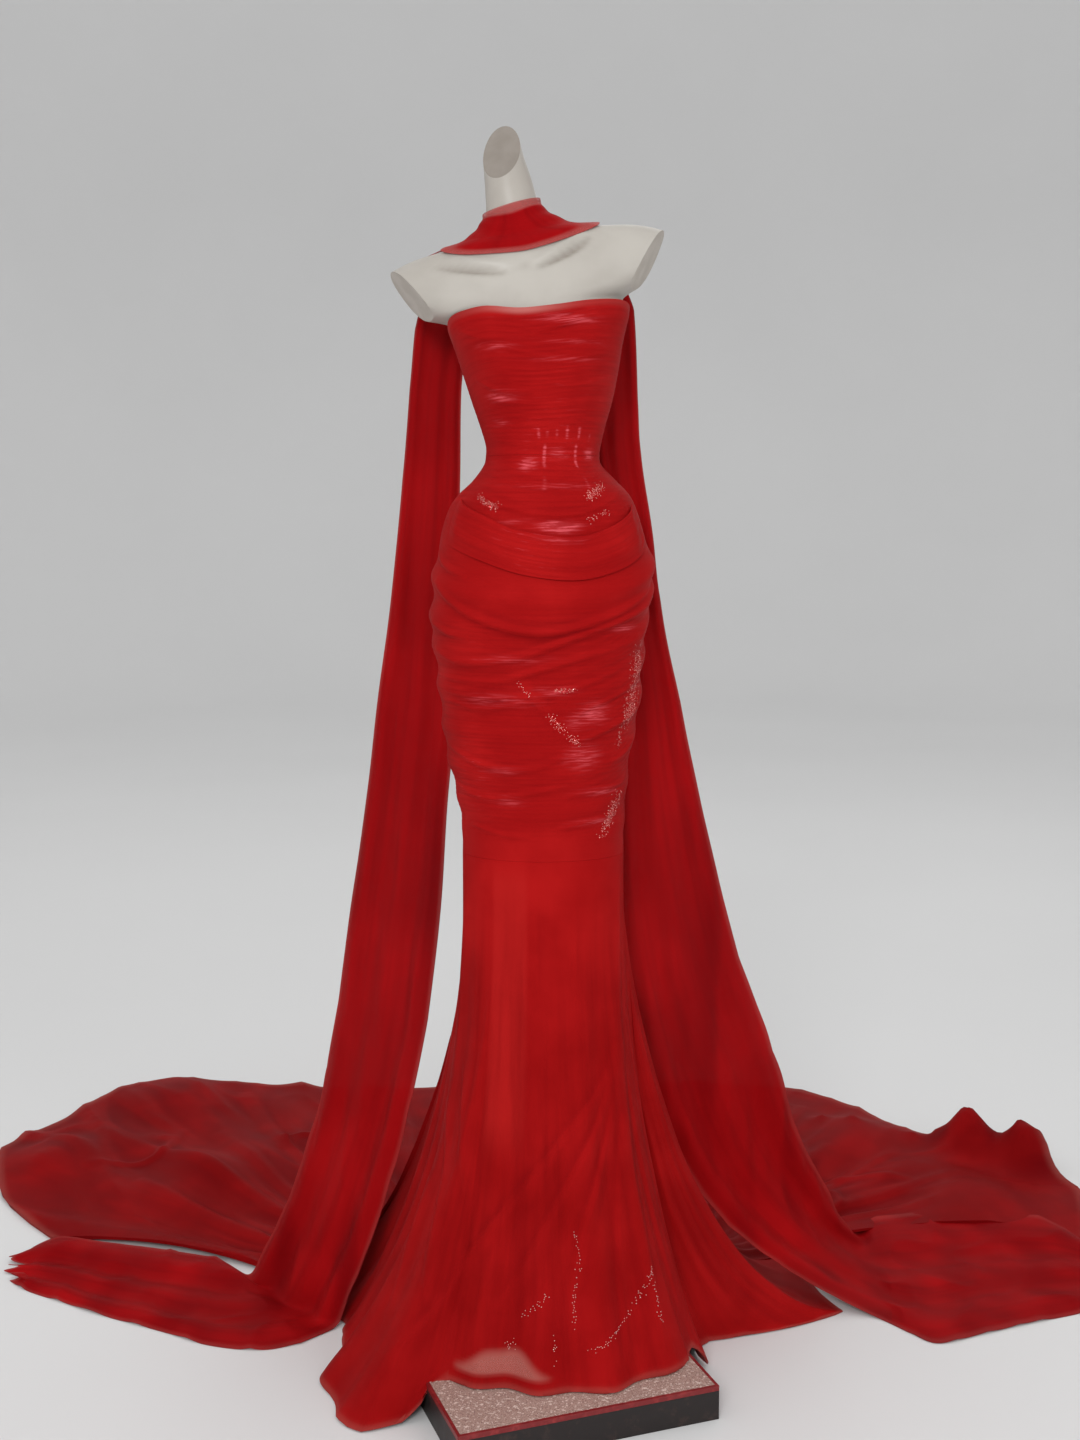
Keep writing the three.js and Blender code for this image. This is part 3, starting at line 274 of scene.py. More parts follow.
# On the flare and the train a place is an angle and a share of the way from the knee to the hem.
FLARE_FOLDS = [
    ([(49, 0.95), (52, 0.74), (53, 0.61), (57, 0.43), (64, 0.2), (70, 0.03)], 18, 5.6),
    ([(-73, 0.04), (-76, 0.15), (-88, 0.5), (-75, 0.67), (-61, 0.86)], 18, 5),
    ([(-84, 0.42), (-60, 0.58), (-43, 0.8)], 16, 5), ([(-63, 0.36), (-45, 0.54), (-34, 0.76)], 15, 4),
    ([(54, 0.36), (40, 0.44), (17, 0.52), (-11, 0.64), (-38, 0.78), (-52, 0.88)], 17, 6.4),
    ([(52, 0.4), (36, 0.5), (20, 0.59), (1, 0.71), (-19, 0.86)], 15, 6),
    ([(50, 0.44), (42, 0.52), (30, 0.62), (19, 0.72), (12, 0.86), (12, 0.97)], 12, 5.6),
    ([(51, 0.5), (43, 0.64), (37, 0.8), (34, 0.97)], 12, 4.4),
    ([(-14, 0.5), (-20, 0.7), (-30, 0.92)], 14.4, 2.5), ([(4, 0.3), (0, 0.5), (-6, 0.66)], 16.8, 1.9),
    ([(-36, 0.22), (-44, 0.4), (-52, 0.62)], 14.4, 2.5),
    ([(-34, 0.24), (-24, 0.255), (-10, 0.25)], 6, 0.9),
    ([(20, 0.12), (26, 0.3), (30, 0.46)], 16.8, 1.9), ([(62, 0.35), (66, 0.6), (70, 0.94)], 16.8, 5),
    ([(78, 0.3), (80, 0.55), (82, 0.94)], 16.8, 5),
    ([(90, 0.26), (96.6, 0.5), (97.4, 0.7), (98.2, 0.96)], 14.4, 5.6),
    ([(92, 0.22), (98.4, 0.42), (99.2, 0.66), (99.8, 0.97)], 13.2, 5.6),
    ([(94, 0.2), (99.8, 0.4), (100.8, 0.64), (101.6, 0.98)], 13.2, 5.6),
    ([(97, 0.2), (101.4, 0.38), (102.6, 0.66), (103.2, 0.98)], 14.4, 5),
    ([(112, 0.3), (112, 0.6), (110, 0.95)], 21.6, 5.6),
    ([(121, 0.3), (122, 0.6), (122, 0.95)], 21.6, 5),
    ([(-112, 0.4), (-108, 0.6), (-108, 0.92)], 19.2, 5.6),
    ([(-99, 0.35), (-97, 0.6), (-98, 0.92)], 16.8, 4.3),
]
TRAIN_LEFT_FOLDS = [
    ([(-123, 0.2), (-124, 0.45), (-122, 0.7)], 18, 8),
    ([(-129, 0.22), (-127, 0.5), (-129, 0.78)], 20, 10),
    ([(-133, 0.3), (-136, 0.6), (-134, 0.92)], 18, 9),
    ([(-139, 0.16), (-140, 0.48), (-143, 0.8)], 20, 10),
    ([(-146, 0.4), (-147, 0.66), (-150, 0.95)], 22, 11),
    ([(-153, 0.2), (-156, 0.5), (-154, 0.84)], 22, 10),
    ([(-163, 0.26), (-161, 0.58), (-164, 0.92)], 22, 11),
    ([(-172, 0.16), (-174, 0.5), (-171, 0.86)], 22, 10),
    ([(-128, 0.86), (-134, 0.8), (-141, 0.84)], 14, 7),
    ([(-146, 0.72), (-151, 0.78), (-157, 0.74)], 14, 7),
]
TRAIN_RIGHT_FOLDS = [
    ([(130, 0.3), (131, 0.56), (130, 0.84)], 16, 9), ([(133, 0.2), (134, 0.5), (133, 0.9)], 18, 10),
    ([(138, 0.26), (137, 0.56), (139, 0.92)], 18, 10), ([(143, 0.18), (145, 0.5), (144, 0.86)], 20, 10),
    ([(150, 0.3), (149, 0.6), (152, 0.94)], 22, 11), ([(158, 0.18), (160, 0.5), (158, 0.84)], 22, 10),
    ([(167, 0.26), (166, 0.58), (169, 0.94)], 22, 11), ([(175, 0.18), (173, 0.5), (176, 0.86)], 22, 10),
    ([(131, 0.66), (136, 0.72), (143, 0.68)], 14, 8), ([(134, 0.82), (140, 0.78), (148, 0.84)], 14, 8),
]
# The form's collarbones and the hollows under them: angle and height on the shoulders.
FORM_MOULDING = [
    ([(-5, 1777), (-17, 1787), (-36, 1806)], 6, 5), ([(5, 1777), (15, 1793), (33, 1813)], 6, 5),
    ([(-7, 1764), (-18, 1773), (-37, 1793)], 5.5, -5.5), ([(4, 1765), (14, 1778), (30, 1804)], 5.5, -6),
    ([(-2, 1764), (-1, 1770), (0, 1778)], 6, -2),
]

# Where pale satin shows through the net, with a painted sheen: angle, height, reach in degrees and in
# millimetres, strength.
PALE_PATCHES = [
    (10, 1378, 10, 8, 1.8), (-16, 1386, 12, 4, 0.5), (33, 1092, 9, 16, 0.9), (28, 1024, 11, 19, 0.8),
    (20, 1078, 6, 14, 0.5), (-24, 1112, 22, 10, 0.55), (8, 1128, 12, 7, 0.6), (-14, 1176, 20, 7, 0.4),
    (52, 1222, 12, 6, 0.7), (44, 966, 18, 7, 0.6), (40, 918, 20, 6, 0.55), (-24, 1002, 12, 7, 0.5),
    (-22, 952, 10, 9, 0.5), (22, 1688, 20, 8, 0.8), (-30, 1648, 14, 6, 0.6), (-34, 1574, 14, 9, 0.8),
    (18, 1628, 30, 4, 0.45), (26, 1654, 24, 4, 0.4), (-14, 1473, 8, 9, 1.2), (53, 1488, 7, 8, 1.2),
    (16, 1488, 9, 9, 0.6), (10, 1440, 36, 5, 0.4), (-40, 1536, 10, 6, 0.5),
]
# The boning that shows at the waist as pale stripes, with a painted highlight: angle, lowest and highest
# place, and strength.
BONES = [
    (-4, 1508, 1530, 0.9), (4, 1510, 1528, 0.6), (13, 1510, 1530, 0.6), (23, 1508, 1534, 0.9),
    (36, 1508, 1532, 1), (50, 1506, 1524, 0.6), (1.5, 1464, 1506, 1.2), (34, 1464, 1506, 1.2),
    (0, 1430, 1458, 0.4), (34, 1432, 1458, 0.35),
]
# Where sequins under the net catch the light: places along each band, and its width.
SEQUIN_BANDS = [
    ([(70, 1180), (71, 1146), (66, 1112), (60, 1078)], 13), ([(57, 1062), (57, 1036)], 4),
    ([(60, 950), (54, 926), (48, 900)], 9), ([(6, 1086), (15, 1064), (23, 1046)], 5),
    ([(-12, 1140), (-6, 1122)], 3), ([(8, 1128), (20, 1130)], 3),
    ([(-46, 1424), (-36, 1414), (-28, 1408)], 5), ([(31, 1424), (46, 1440)], 6),
    ([(28, 1392), (41, 1400)], 5),
]
CRYSTAL_LINES = [
    ([(-9, 0.87), (-3, 0.845), (3, 0.82)], 2.5),
    ([(16, 0.71), (18, 0.75), (15, 0.82), (14, 0.89)], 2.5),
    ([(18, 0.925), (27, 0.91), (41, 0.86), (51, 0.81)], 3), ([(51, 0.81), (50, 0.9)], 2.5),
    ([(-13, 0.925), (-11, 0.92)], 5), ([(5, 0.89), (6, 0.95)], 2),
]


# Reading the tables

def curve(table, column):
    """A smooth curve through one column of a table against its first."""
    xs, ys = table[:, 0], table[:, column]
    order = np.arange(len(xs))
    before, after = np.maximum(order - 1, 0), np.minimum(order + 1, len(xs) - 1)
    slopes = (ys[after] - ys[before]) / (xs[after] - xs[before])

    def read(x):
        i = np.clip(np.searchsorted(xs, x) - 1, 0, len(xs) - 2)
        width = xs[i + 1] - xs[i]
        t = np.clip((x - xs[i]) / width, 0, 1)
        start = (1 + 2 * t) * (1 - t) ** 2 * ys[i]
        end = t * t * (3 - 2 * t) * ys[i + 1]
        leave = t * (1 - t) ** 2 * width * slopes[i]
        arrive = t * t * (t - 1) * width * slopes[i + 1]
        return start + end + leave + arrive
    return read


def curves(table, *names):
    """A smooth curve for each column after the first, by name."""
    return {name: curve(table, column + 1) for column, name in enumerate(names)}


def straight(table):
    """Straight lines through pairs of values."""
    xs, ys = np.array(table, float).T
    return lambda x: float(np.interp(x, xs, ys))


def by_share(table):
    """A table with the share of the way through its rows, from 0 to 1, as a new first column."""
    table = np.array(table, float)
    return np.concatenate([even(len(table) - 1)[:, None], table], axis=1)


def even(count):
    """Shares from 0 to 1 in a count of even steps."""
    return np.linspace(0, 1, count + 1)


def bell(distance, spread):
    return np.exp(-((distance / spread) ** 2))


def ease(value, low, high):
    """Rises softly from 0 at low to 1 at high."""
    t = np.clip((value - low) / (high - low), 0, 1)
    return t * t * (3 - 2 * t)


def mix(a, b, t):
    return a + (b - a) * t


def points_of(x, y, z):
    return np.stack(np.broadcast_arrays(x, y, z), axis=-1).astype(float)


def polar(phi, radius, z=0.0):
    turned = np.radians(phi)
    return points_of(np.sin(turned) * radius, -np.cos(turned) * radius, z)


def unit(vectors):
    return vectors / np.maximum(np.linalg.norm(vectors, axis=-1, keepdims=True), 1e-9)


def normals_of(grid):
    """Unit normals of a grid whose columns run to the right and whose rows run up."""
    return unit(np.cross(np.gradient(grid, axis=1), np.gradient(grid, axis=0)))


def running(steps):
    return np.concatenate([[0], np.cumsum(steps)])


def lengths_along(line):
    return running(np.linalg.norm(np.diff(line, axis=0), axis=1))


def uneven(points, size, seed, waves=9):
    """A soft uneven value, mostly from -1 to 1, that changes over about the given size."""
    rng = np.random.default_rng(seed)
    total = np.zeros(points.shape[:-1])
    for _ in range(waves):
        direction = rng.normal(size=3)
        direction /= np.linalg.norm(direction)
        pace = 2 * math.pi / size * rng.uniform(0.35, 0.9)
        total += np.sin(points @ direction * pace + rng.uniform(0, 2 * math.pi))
    return total / math.sqrt(waves)


def blurred(values, reach, spread, axis):
    """Values blurred along rows or columns."""
    kernel = bell(np.arange(-reach, reach + 1), spread)
    kernel /= kernel.sum()
    frame_of = [(reach, reach) if k == axis else (0, 0) for k in range(2)]
    framed = np.pad(values, frame_of, mode="edge")
    return np.apply_along_axis(np.convolve, axis, framed, kernel, "valid")


def hollows(raised, reach=5):
    """From 0 on the crests to 1 in the troughs of a raised surface: the mark for painted shade in the
    creases.
    """
    level = raised
    for axis in range(2):
        level = blurred(level, 2 * reach, reach, axis)
    return np.clip(0.5 - 0.32 * (raised - level), 0, 1)


def line_on(grid, columns, rows, places):
    """A smooth line on a grid of points, through places given by column and row values."""
    through = by_share(places)
    t = even(24)
    j = np.interp(curve(through, 1)(t), columns, np.arange(len(columns)))
    i = np.interp(curve(through, 2)(t), rows, np.arange(len(rows)))
    low_i, low_j = np.minimum(i.astype(int), len(rows) - 2), np.minimum(j.astype(int), len(columns) - 2)
    share_i, share_j = (i - low_i)[:, None], (j - low_j)[:, None]
    upper = mix(grid[low_i, low_j], grid[low_i, low_j + 1], share_j)
    lower = mix(grid[low_i + 1, low_j], grid[low_i + 1, low_j + 1], share_j)
    return mix(upper, lower, share_i)


def near_line(grid, normals, line, reach):
    """How far each point is from a line, which side it lies on and its share of the way along."""
    away = np.full(grid.shape[:-1], 1e6)
    side, way = np.ones(grid.shape[:-1]), np.zeros(grid.shape[:-1])
    low, high = line.min(axis=0) - reach, line.max(axis=0) + reach
    close = ((grid > low) & (grid < high)).all(axis=-1)
    points, facing = grid[close], normals[close]
    best, best_side, best_way = away[close], side[close], way[close]
    lengths = lengths_along(line)
    for k in range(len(line) - 1):
        step = line[k + 1] - line[k]
        size = float(step @ step)
        if size == 0:
            continue
        t = np.clip((points - line[k]) @ step / size, 0, 1)
        gap = points - (line[k] + t[:, None] * step)
        distance = np.linalg.norm(gap, axis=1)
        nearer = distance < best
        best = np.where(nearer, distance, best)
        turned = np.sign((np.cross(step, gap) * facing).sum(axis=1))
        best_side = np.where(nearer, turned, best_side)
        best_way = np.where(nearer, (lengths[k] + t * math.sqrt(size)) / lengths[-1], best_way)
    away[close], side[close], way[close] = best, best_side, best_way
    return away, side, way


def folds_on(grid, columns, rows, folds, steep=0.4, facing=1):
    """How far the listed folds stand out of a grid of points."""
    normals = normals_of(grid) * facing
    out = np.zeros(grid.shape[:-1])
    for places, width, rise in folds:
        away, side, way = near_line(grid, normals, line_on(grid, columns, rows, places), 3 * width)
        spread = np.where(side > 0, width, width * steep)
        out += rise * bell(away, spread) * np.sqrt(np.clip(np.sin(math.pi * way), 0, 1))
    return out


def band_on(grid, columns, rows, bands):
    """From 0 to 1 where the listed bands of sequins lie on a grid of points."""
    normals = normals_of(grid)
    weight = np.zeros(grid.shape[:-1])
    for places, width in bands:
        away, _, _ = near_line(grid, normals, line_on(grid, columns, rows, places), 3 * width)
        weight = np.maximum(weight, bell(away, width))
    return weight


# The dress's surface

girth = curves(BODY, "centre", "half", "front", "back")
bodice_top = curve(BODICE_TOP, 1)


def cups(phi, z):
    sides = bell(phi - CUP["angle"], CUP["spread"]) + bell(phi + CUP["angle"], CUP["spread"])
    return CUP["rise"] * sides * bell(z - CUP["z"], CUP["height"])


def body(phi, z, out=0.0):
    """The plain surface of the dress from the waist up and down to the knee."""
    across, ahead = np.sin(np.radians(phi)), np.cos(np.radians(phi))
    depth = np.where(ahead > 0, girth["front"](z), girth["back"](z)) + cups(phi, z) + out
    return points_of(girth["centre"](z) + (girth["half"](z) + out) * across, -depth * ahead, z)


def swag_line(phi, left, middle, right):
    side = np.clip(phi / 90, -1, 1)
    return mix(middle, np.where(side < 0, left, right), side * side)


def swags(phi, z):
    """How far the gathered swags stand out of the skirt."""
    side = np.clip(phi / 90, -1, 1)
    share = np.where(np.abs(phi) > 90, 0.6, 1) * (0.6 + 0.6 * side * side)
    out = np.zeros(np.broadcast(phi, z).shape)
    for left, middle, right, rise in SWAGS:
        away = z - swag_line(phi, left, middle, right)
        out = np.maximum(out, share * rise * bell(away, SWAG_WIDTH / 2))
    return out


def gather_level(phi, z):
    """The height in the middle of the front of the gather line that passes through each point."""
    lines = [(KNEE_Z, KNEE_Z, KNEE_Z)] + [row[:3] for row in reversed(SWAGS)]
    lines += [(1405, 1380, 1412), (1440, 1425, 1445), (WAIST_Z, WAIST_Z, WAIST_Z), (1760, 1760, 1760)]
    level = np.zeros(np.broadcast(phi, z).shape)
    phi, z = np.broadcast_arrays(phi, z)
    middles = [line[1] for line in lines]
    for j in range(phi.shape[1]):
        heights = [float(swag_line(phi[0, j], *line)) for line in lines]
        level[:, j] = np.interp(z[:, j], heights, middles)
    return level


def hip_share(z):
    """From 0 to 1 over the hips, where the cloth lies smoother."""
    return bell(z - HIP_Z, HIP_HEIGHT)


def gathers(phi, z):
    """The fine gathers that run round the bodice and across the skirt."""
    points = body(phi, z)
    level = gather_level(phi, z)
    wander = 0.55 * uneven(points * (1, 1, 2.2), 150, 3) + 0.3 * uneven(points * (1, 1, 3), 60, 4)
    ridge = 0.5 + 0.5 * np.cos(2 * math.pi * (level / GATHER_PITCH + wander))
    second = 0.5 + 0.5 * np.cos(2 * math.pi * (level / (0.78 * GATHER_PITCH) - 0.8 * wander))
    strength = np.clip(0.62 + 0.38 * uneven(points * (1, 1, 3.5), 120, 5), 0.1, 1.1)
    fade = ease(z, KNEE_Z, KNEE_Z + 90) * (1 - 0.6 * hip_share(z))
    return GATHER_RISE * fade * strength * (0.75 * ridge ** 1.3 + 0.35 * second)


# The flare and the train

flare_at = {name: straight(table) for name, table in FLARE.items()}


def hem_at(phi):
    """The train's reach in one direction, with the corners of its table rounded."""
    widest, start, end = HEM_ROUNDING
    around = widest * float(ease(abs(phi), start, end))
    return float(np.mean([flare_at["hem"](phi + turn * around) for turn in np.linspace(-1, 1, 7)]))


def floor_lift(points, phi, share):
    """How far the train's cloth stands up from the floor."""
    heaps = np.zeros(points.shape[:-1])
    for x, y, rise, spread in HEAPS:
        heaps += rise * bell(np.hypot(points[..., 0] - x, points[..., 1] - y), spread)
    ridges = 7 + 7 * math.cos(math.radians(phi * 45))
    return heaps * np.sqrt(np.clip(share * 3, 0, 1)) + ridges * np.sin(math.pi * share)


def flare_line(phi, spreads):
    """The line that the cloth follows in one direction, from the knee to the hem."""
    start = body(phi, KNEE_Z - SEAM_GAP / 2)
    reach = flare_at["reach"](phi)
    end = polar(phi, reach, flare_at["rest"](phi) + CLOTH)
    t = even(48)[:, None]
    points = mix(start, end, t ** flare_at["bow"](phi))
    points[:, 2] = mix(end[2], start[2], (1 - t[:, 0]) ** flare_at["fall"](phi))
    if spreads:
        share = even(48)[1:]
        turned = np.clip((share - 0.1) / 0.9, 0, 1) ** 1.4
        lying = polar(phi + flare_at["swing"](phi) * turned, mix(reach, hem_at(phi), share), CLOTH)
        lying[:, 2] += floor_lift(lying, phi, share)
        points = np.concatenate([points, lying])
    return points


def flare_surface(angles, rows, spreads):
    """Points of the flare or train for a row of angles, from the knee to the hem."""
    shares = even(rows)
    columns = []
    for phi in angles:
        line = flare_line(phi, spreads)
        lengths = lengths_along(line)
        way = shares * lengths[-1]
        column = np.stack([np.interp(way, lengths, line[:, axis]) for axis in range(3)], axis=-1)
        opened = np.clip(1 - column[:, 2] / KNEE_Z, 0, 1) ** 2
        if spreads:
            fold = 9 * math.cos(math.radians(phi * 30)) * np.clip(column[:, 2] / 120, 0, 1)
        else:
            fold = 9 * math.cos(math.radians(phi * 14.4))
        columns.append(column + polar(phi, fold * opened))
    return np.stack(columns, axis=1)


# The form's shoulders and the scarf

shoulder_at = curves(SHOULDERS, "centre", "shift", "half", "front", "back", "tilt")
wrap_foot = curve(WRAP_FOOT, 1)


def shoulder(phi, v):
    """The form's surface from the armpits to the neck."""
    across = np.sin(np.radians(phi)) * shoulder_at["half"](v)
    ahead = np.cos(np.radians(phi))
    depth = np.where(ahead > 0, shoulder_at["front"](v), shoulder_at["back"](v))
    z = v + across * np.tan(np.radians(shoulder_at["tilt"](v)))
    return points_of(shoulder_at["centre"](v) + across, shoulder_at["shift"](v) - depth * ahead, z)


def shoulder_out(phi, v, distance):
    """A point that stands off the shoulders by a distance."""
    along = shoulder(phi + 1, v) - shoulder(phi - 1, v)
    up = shoulder(phi, v + 1) - shoulder(phi, v - 1)
    return shoulder(phi, v) + unit(np.cross(along, up)) * np.asarray(distance)[..., None]


def wrap_point(phi, share, distance, fold=0.0):
    return shoulder_out(phi, mix(wrap_foot(phi), WRAP_TOP_V, share), distance + fold)


# Meshes

def flat_map(outer, ring):
    """The cloth's own coordinates in metres: across the columns and along the rows."""
    closed = np.concatenate([outer, outer[:, :1]], axis=1) if ring else outer
    across, along = (
        running(np.linalg.norm(np.diff(grid, axis=1), axis=-1).mean(axis=0))
        for grid in (closed, outer.transpose(1, 0, 2))
    )
    return points_of(across[None, :], along[:, None], 0)[..., :2] * MM


def cloth_mesh(name, outer, inner, ring=False, marks=None, coarse=1):
    """A closed thin wall between two grids of points. The inner wall may be coarser than the outer."""
    rows, columns = outer.shape[:2]
    inner = inner[::coarse, ::coarse]
    spans = columns if ring else columns - 1
    faces, places = [], []

    def outer_at(i, j):
        return i * columns + j % columns

    def inner_at(i, j):
        return rows * columns + i // coarse * inner.shape[1] + j // coarse % inner.shape[1]

    def face(corners):
        faces.append([wall(i, j) for wall, i, j in corners])
        places.extend((i, j) for _, i, j in corners)

    def rim(edge, turned):
        """A face across the wall's edge."""
        corners = [(outer_at, i, j) for i, j in edge] + [(inner_at, *edge[-1]), (inner_at, *edge[0])]
        face(corners[::-1] if turned else corners)

    for wall, step, order in ((outer_at, 1, (0, 1, 2, 3)), (inner_at, coarse, (0, 3, 2, 1))):
        for i in range(0, rows - 1, step):
            for j in range(0, spans, step):
                square = ((i, j), (i, j + step), (i + step, j + step), (i + step, j))
                face([(wall, *square[k]) for k in order])
    for j in range(0, spans, coarse):
        for i in (0, rows - 1):
            rim([(i, k) for k in range(j, j + coarse + 1)], i > 0)
    for i in range(0, 0 if ring else rows - 1, coarse):
        for j in (0, columns - 1):
            rim([(k, j) for k in range(i, i + coarse + 1)], j > 0)
    points = np.concatenate([outer.reshape(-1, 3), inner.reshape(-1, 3)]) * MM
    mesh = bpy.data.meshes.new(name)
    mesh.from_pydata(points.tolist(), [], faces)
    i, j = np.array(places).T
    layer = mesh.uv_layers.new(name="Cloth")
    layer.data.foreach_set("uv", flat_map(outer, ring)[i, j].astype(np.float32).reshape(-1))
    for label, values in (marks or {}).items():
        values = np.broadcast_to(values, (rows, columns))
        both = np.concatenate([values.reshape(-1), values[::coarse, ::coarse].reshape(-1)])
        add_mark(mesh, label, np.clip(both, 0, 1))
    faced_out(mesh)
    mesh.shade_smooth()
    mesh.set_sharp_from_angle(angle=math.radians(CREASE_ANGLE))
    return link(name, mesh)


def add_mark(mesh, label, values):
    """A value at each point, for a finish or a scatter to read."""
    mark = mesh.attributes.new(label, "FLOAT", "POINT")
    mark.data.foreach_set("value", values.astype(np.float32))


def faced_out(mesh):
    """Turns a closed mesh's faces to point out, all the same way."""
    made = bmesh.new()
    made.from_mesh(mesh)
    bmesh.ops.recalc_face_normals(made, faces=made.faces)
    if made.calc_volume(signed=True) < 0:
        bmesh.ops.reverse_faces(made, faces=made.faces)
    made.to_mesh(mesh)
    made.free()


def link(name, data):
    thing = bpy.data.objects.new(name, data)
    bpy.context.scene.collection.objects.link(thing)
    return thing


def ring_faces(rings, columns):
    """Faces between closed rings of points, each with the same number of points."""
    return [
        (low + j, low + (j + 1) % columns, low + columns + (j + 1) % columns, low + columns + j)
        for low in range(0, (rings - 1) * columns, columns) for j in range(columns)
    ]


def finish_piece(piece, finish, slot, *nodes):
    piece.data.materials.clear()
    piece.data.materials.append(finish)
    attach(piece, "root")
    if nodes:
        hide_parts(*nodes)
    return piece


def turned_about_plinth(x, y, degrees):
    turn = math.radians(degrees)
    return x * math.cos(turn) + y * math.sin(turn), y * math.cos(turn) - x * math.sin(turn)


def clear_of_plinth(points, gap):
    """Moves points that would be in the plinth to the nearest place on its top or sides."""
    x, y = points[..., 0] - PLINTH["x"], points[..., 1] - PLINTH["y"]
    across, along = turned_about_plinth(x, y, PLINTH["turn"])
    half_width, half_depth = PLINTH["width"] / 2 + gap, PLINTH["depth"] / 2 + gap
    top = PLINTH["top"] + gap
    depths = np.stack([half_width - np.abs(across), half_depth - np.abs(along), top - points[..., 2]])
    inside = (depths > 0).all(axis=0)
    nearest = depths.argmin(axis=0)
    across = np.where(inside & (nearest == 0), np.sign(across) * half_width, across)
    along = np.where(inside & (nearest == 1), np.sign(along) * half_depth, along)
    x, y = turned_about_plinth(across, along, -PLINTH["turn"])
    z = np.where(inside & (nearest == 2), top, points[..., 2])
    return points_of(PLINTH["x"] + x, PLINTH["y"] + y, z)


# Sequins and crystals

def scattered(name, seat, finish, pitch, size, crystal, seed):
    """Sequins or crystals on a seat mesh, as close as its mark "band" says, as one plain mesh."""
    tree = bpy.data.node_groups.new(name, "GeometryNodeTree")
    face = tree.interface
    face.new_socket("Seat", in_out="INPUT", socket_type="NodeSocketGeometry")
    inputs = {}
    for label, value in (("Pitch", pitch), ("Size", size), ("Tilt", SCATTER_TILT)):
        socket = face.new_socket(label, in_out="INPUT", socket_type="NodeSocketFloat")
        inputs[socket.identifier] = value
    face.new_socket("Cloth", in_out="OUTPUT", socket_type="NodeSocketGeometry")

    def node(kind, values=None, **settings):
        made = tree.nodes.new(kind)
        for key, value in settings.items():
            setattr(made, key, value)
        for key, value in (values or {}).items():
            made.inputs[key].default_value = value
        return made

    source, sink = node("NodeGroupInput"), node("NodeGroupOutput")
    band = node("GeometryNodeInputNamedAttribute", {"Name": "band"}, data_type="FLOAT")
    spread = node(
        "GeometryNodeDistributePointsOnFaces", {"Density Max": 1.2 / (pitch * pitch), "Seed": seed},
        distribute_method="POISSON",
    )
    lowest = {"Min": (-1, -1, -1), "Seed": seed + 1}
    tilt = node("FunctionNodeRandomValue", lowest, data_type="FLOAT_VECTOR")
    lean = node("ShaderNodeVectorMath", operation="SCALE")
    turn = node("FunctionNodeRotateRotation", rotation_space="LOCAL")
    if crystal:
        shape = node("GeometryNodeMeshIcoSphere", {"Subdivisions": 1})
    else:
        shape = node("GeometryNodeMeshCircle", {"Vertices": 7}, fill_type="NGON")
    placed, real = node("GeometryNodeInstanceOnPoints"), node("GeometryNodeRealizeInstances")
    painted = node("GeometryNodeSetMaterial", {"Material": finish})
    for start, output, end, entry in (
        (source, "Seat", spread, "Mesh"), (source, "Pitch", spread, "Distance Min"),
        (band, "Attribute", spread, "Density Factor"), (tilt, "Value", lean, "Vector"),
        (source, "Tilt", lean, "Scale"), (spread, "Rotation", turn, "Rotation"),
        (lean, "Vector", turn, "Rotate By"), (source, "Size", shape, "Radius"),
        (spread, "Points", placed, "Points"), (shape, "Mesh", placed, "Instance"),
        (turn, "Rotation", placed, "Rotation"), (placed, "Instances", real, "Geometry"),
        (real, "Geometry", painted, "Geometry"), (painted, "Geometry", sink, "Cloth"),
    ):
        tree.links.new(start.outputs[output], end.inputs[entry])
    scatter = seat.modifiers.new(name, "NODES")
    scatter.node_group = tree
    for identifier, value in inputs.items():
        scatter[identifier] = value
    graph = bpy.context.evaluated_depsgraph_get()
    mesh = bpy.data.meshes.new_from_object(seat.evaluated_get(graph), depsgraph=graph)
    mesh.name = name
    bpy.data.objects.remove(seat)
    return finish_piece(link(name, mesh), finish, "dress_tulle")


def seat_mesh(grid, band):
    """An open grid of faces that carries the mark "band"."""
    rows, columns = grid.shape[:2]
    faces = []
    for i in range(rows - 1):
        for j in range(columns - 1):
            if band[i:i + 2, j:j + 2].max() > BAND_EDGE:
                a = i * columns + j
                faces.append((a, a + 1, a + columns + 1, a + columns))
    mesh = bpy.data.meshes.new("seat")
    mesh.from_pydata((grid * MM).reshape(-1, 3).tolist(), [], faces)
    add_mark(mesh, "band", band.reshape(-1))
    return link("seat", mesh)


# Finishes

def sum_with(operation, reflected=False):
    """A sum in which a wire is the first value or, reflected, the second."""
    def apply(wire, other):
        return wire.sum_of(operation, *((other, wire) if reflected else (wire, other)))
    return apply


class Wire:
    """A number that runs through a finish, so that its sums read as sums."""

    def __init__(self, finish, socket):
        self.finish, self.socket = finish, socket

    def sum_of(self, operation, *values):
        return self.finish.node("ShaderNodeMath", {"operation": operation}, dict(enumerate(values)))

    __add__, __radd__ = sum_with("ADD"), sum_with("ADD", True)
    __sub__, __rsub__ = sum_with("SUBTRACT"), sum_with("SUBTRACT", True)
    __mul__, __rmul__ = sum_with("MULTIPLY"), sum_with("MULTIPLY", True)
    __pow__ = sum_with("POWER")

    def sine(self):
        return self.sum_of("SINE", self)

    def size(self):
        return self.sum_of("ABSOLUTE", self)

    def between(self, low, high):
        """Rises softly from 0 at low to 1 at high."""
        settings = {"interpolation_type": "SMOOTHSTEP"}
        return self.finish.node("ShaderNodeMapRange", settings, {
            "Value": self, "From Min": low, "From Max": high, "To Min": 0.0, "To Max": 1.0,
        })


